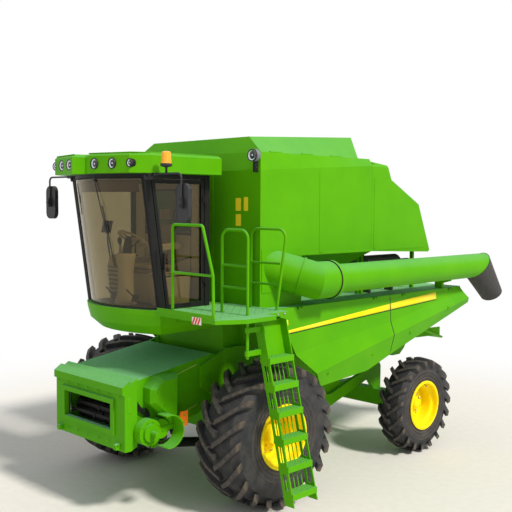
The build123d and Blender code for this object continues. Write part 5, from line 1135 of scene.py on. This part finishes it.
# ---- Engine hood: folded sheet with lapped seams, a louvred vent and a handle in its right
# side, where a perforated screen turns.
hood_tree = surface_of("engine_hood")
shapes = []
for k in range(9):
    z = 3300 + k * 44
    x = cast_x(hood_tree, 3430, z, -1)
    shapes.append(prism([(x, z), (x - 14, z - 6), (x - 16, z - 2), (x, z + 26)], 1, 3300, 3560))
green_part("hood_louvres", shapes, 1)
strips = []
for side in (-1, 1):
    x = cast_x(hood_tree, 2400, 3700, side)
    low = min(x, x + side * 4)
    strips.append(bar_between(low, low + 4, 2300, 2340, 3150, 4180))
    strips.append(bar_between(low, low + 4, 2300, 3560, 3128, 3160))
green_part("hood_seams", strips, 2)
x = cast_x(hood_tree, 3300, 3250, -1)
black_part("hood_handle", [tube([(x, 3230, 3230), (x - 34, 3235, 3230), (x - 34, 3365, 3230),
                                 (x, 3370, 3230)], 8, 16, 8)], smooth=True)

# Rotary screen: perforated galvanised sheet, with holes of 4 mm drawn at 9 mm so that they show,
# on spokes and a rim of round bar.
perforated_sheet, tree = new_material("steel_galvanised_perforated")
place = node(tree, "ShaderNodeTexCoord")
stretch = node(tree, "ShaderNodeMapping", {"Scale": (0.0, 110.0, 110.0)},
               {"Vector": place.outputs["Object"]})
cells = node(tree, "ShaderNodeTexVoronoi", {"Scale": 1.0, "Randomness": 0.0},
             {"Vector": stretch.outputs[0]})
hole = ranged(tree, cells.outputs["Distance"], low=0.26, high=0.34)
tone = blend(tree, hole, "#0C0D0C", "#8D928E")
metal = node(tree, "ShaderNodeMath", {1: 0.85}, {0: hole}, operation="MULTIPLY")
relief = relief_in(tree, hole, 0.6, 0.001)
ends_in(tree, {"Roughness": 0.45},
        {"Base Color": tone, "Metallic": metal.outputs[0], "Normal": relief})
dress("rotary_screen", perforated_sheet)
low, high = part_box("rotary_screen")
screen_middle = ((low.x - MACHINE_ORIGIN.x) * 1000 - 3, 2900, 3540)
spokes = [tube([about_x(*screen_middle, radius, math.pi * k / 3) for radius in (60, 335)], 7, 0, 6)
          for k in range(6)]
spokes.append(tube([about_x(*screen_middle, 338, 2 * math.pi * k / 40) for k in range(41)],
                   7, 0, 6))
make_piece("screen_spokes", spokes, green_enamel, "cooling_screen")

# Engine: a plain block of painted cast iron with ribs on its sides and a rocker cover on top.
cast_iron = enamel("cast_iron_painted_grey", "#4A4E4A", "#565A56", "#6B675C", 0.6, 0.3)
dress("engine_block", cast_iron)
low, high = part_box("engine_block")
e0 = (low - MACHINE_ORIGIN) * 1000
e1 = (high - MACHINE_ORIGIN) * 1000
shapes = [bar_between(e0.x + 60, e1.x - 60, e0.y + 50, e1.y - 50, e1.z - 4, e1.z + 30)]
for k in range(6):
    y = e0.y + 80 + k * (e1.y - e0.y - 160) / 5
    shapes.append(bar_between(e1.x, e1.x + 12, y - 10, y + 10, e0.z + 60, e1.z - 60))
    shapes.append(bar_between(e0.x - 12, e0.x, y - 10, y + 10, e0.z + 60, e1.z - 60))
make_piece("engine_ribs", shapes, cast_iron, "chassis", 6)
dress("exhaust", cast_iron)


# ---- Unloading tube: a welded elbow and a long tube in green enamel, bolted together at a
# flange over a rubber gasket, and ending in a spout of rubber sheet.
spout_rubber = rubber("spout_rubber_sheet", "#2B2C2E", "#45423F")
dress("auger_spout", spout_rubber)
TUBE_X, TUBE_Z = 1700, 2820
FLANGE_BOLTS = 12
flange = []
for k in range(FLANGE_BOLTS):
    turn = 2 * math.pi * (k + 0.5) / FLANGE_BOLTS
    flange += bolt((TUBE_X + 222 * math.cos(turn), 920, TUBE_Z + 222 * math.sin(turn)),
                   (0, 1, 0), 20)
make_piece("tube_flange_bolts", flange, zinc_bolts, "unloader")
make_piece("tube_gasket",
           [turned((TUBE_X, 861, TUBE_Z), (0, 1, 0), [(0, 241), (0, 255), (9, 255), (9, 241)],
                   64)], seal_rubber, "unloader")

# Belt drive behind the left shields: grooved pulleys on their shafts, and two rubber belts.
belt_rubber = rubber("belt_rubber_ribbed", "#1D1D1E", "#34322F")
pulleys = []
spots = ((1500, 2000, 150), (2050, 2140, 110), (2650, 2010, 160), (1750, 1760, 80))
for y, z, radius in spots:
    pulleys.append(turned((652, y, z), (1, 0, 0),
                          [(0, 50), (40, 50), (42, radius), (52, radius), (62, radius - 14),
                           (72, radius), (84, radius), (94, radius - 14), (104, radius),
                           (112, radius), (114, radius - 30), (96, radius - 40),
                           (96, 60), (130, 60), (134, 40)], 32))
make_piece("belt_pulleys", pulleys, yellow_enamel, "chassis")
BELT_SINK = 4
belts = []
for (y0, z0, r0), (y1, z1, r1), x in ((spots[0], spots[1], 714), (spots[1], spots[2], 746)):
    span = math.hypot(y1 - y0, z1 - z0)
    heading = math.atan2(z1 - z0, y1 - y0)
    tilt = math.asin((r0 - r1) / span)
    loop = []
    for k in range(13):
        turn = heading + math.pi / 2 - tilt + (math.pi + 2 * tilt) * k / 12
        loop.append(about_x(x, y0, z0, r0 - BELT_SINK, turn))
    for k in range(13):
        turn = heading - math.pi / 2 + tilt + (math.pi - 2 * tilt) * k / 12
        loop.append(about_x(x, y1, z1, r1 - BELT_SINK, turn))
    belts.append(tube(loop + loop[:1], 9, 0, 6))
make_piece("drive_belts", belts, belt_rubber, "chassis")

# Rubber bead along the front edge of each rear shield, where it closes on the front one.
for word, side in SIDES:
    skin = surface_of("shield_rear_" + word)
    bead = [(cast_x(skin, 2466, z, side) - side, 2464, z) for z in range(1660, 2445, 28)]
    make_piece("shield_bead_" + word, [tube(bead, 6, 0, 6)], seal_rubber,
               "rear_%s_shield" % word)

# Shield latches: a yellow plastic strap at the front edge of the left front shield, and turned
# catches along the lower lips.
make_piece("shield_latch",
           [prism([(196, 2262), (268, 2262), (262, 2330), (200, 2336)], 0, 1549, 1558)]
           + bolts([(1558, 232, 2312)], (1, 0, 0), 18), yellow_film, "front_left_shield",
           3)
CATCHES = (("front", ((1000, 1560), (2000, 1680))), ("rear", ((2900, 1900), (3900, 2180))))
for word, side in SIDES:
    for end, spots_of in CATCHES:
        trees = surface_of("shield_%s_%s" % (end, word))
        shapes = []
        for y, z in spots_of:
            x = cast_x(trees, y, z, side)
            shapes.append(turned((x - side * 3, y, z), (side, 0, 0),
                                 [(0, 26), (8, 26), (12, 20)], 20))
            shapes.append(bar_between(*sorted((x, x + side * 16)), y - 5, y + 5,
                                      z - 18, z + 18))
        make_piece("%s_catches_%s" % (end, word), shapes, green_enamel,
                   "%s_%s_shield" % (end, word), 1)

# ---- Rear lamps: ribbed red lenses moulded in one piece, on the straw hood's two corners.
red_lens = enamel("red_lens_moulded", "#B3170C", "#C82A1C", "#8C5A50", 0.15, 0.0)
dress("rear_lamps", red_lens)
low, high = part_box("rear_lamps")
r0 = (low - MACHINE_ORIGIN) * 1000
r1 = (high - MACHINE_ORIGIN) * 1000
shapes = []
for side_x in (r0.x, r1.x - 200):
    for k in range(8):
        x = side_x + 14 + k * 24
        shapes.append(bar_between(x, x + 12, r1.y - 1, r1.y + 4, r0.z + 10, r1.z - 10))
make_piece("rear_lamp_ribs", shapes, red_lens, "chassis", 1)
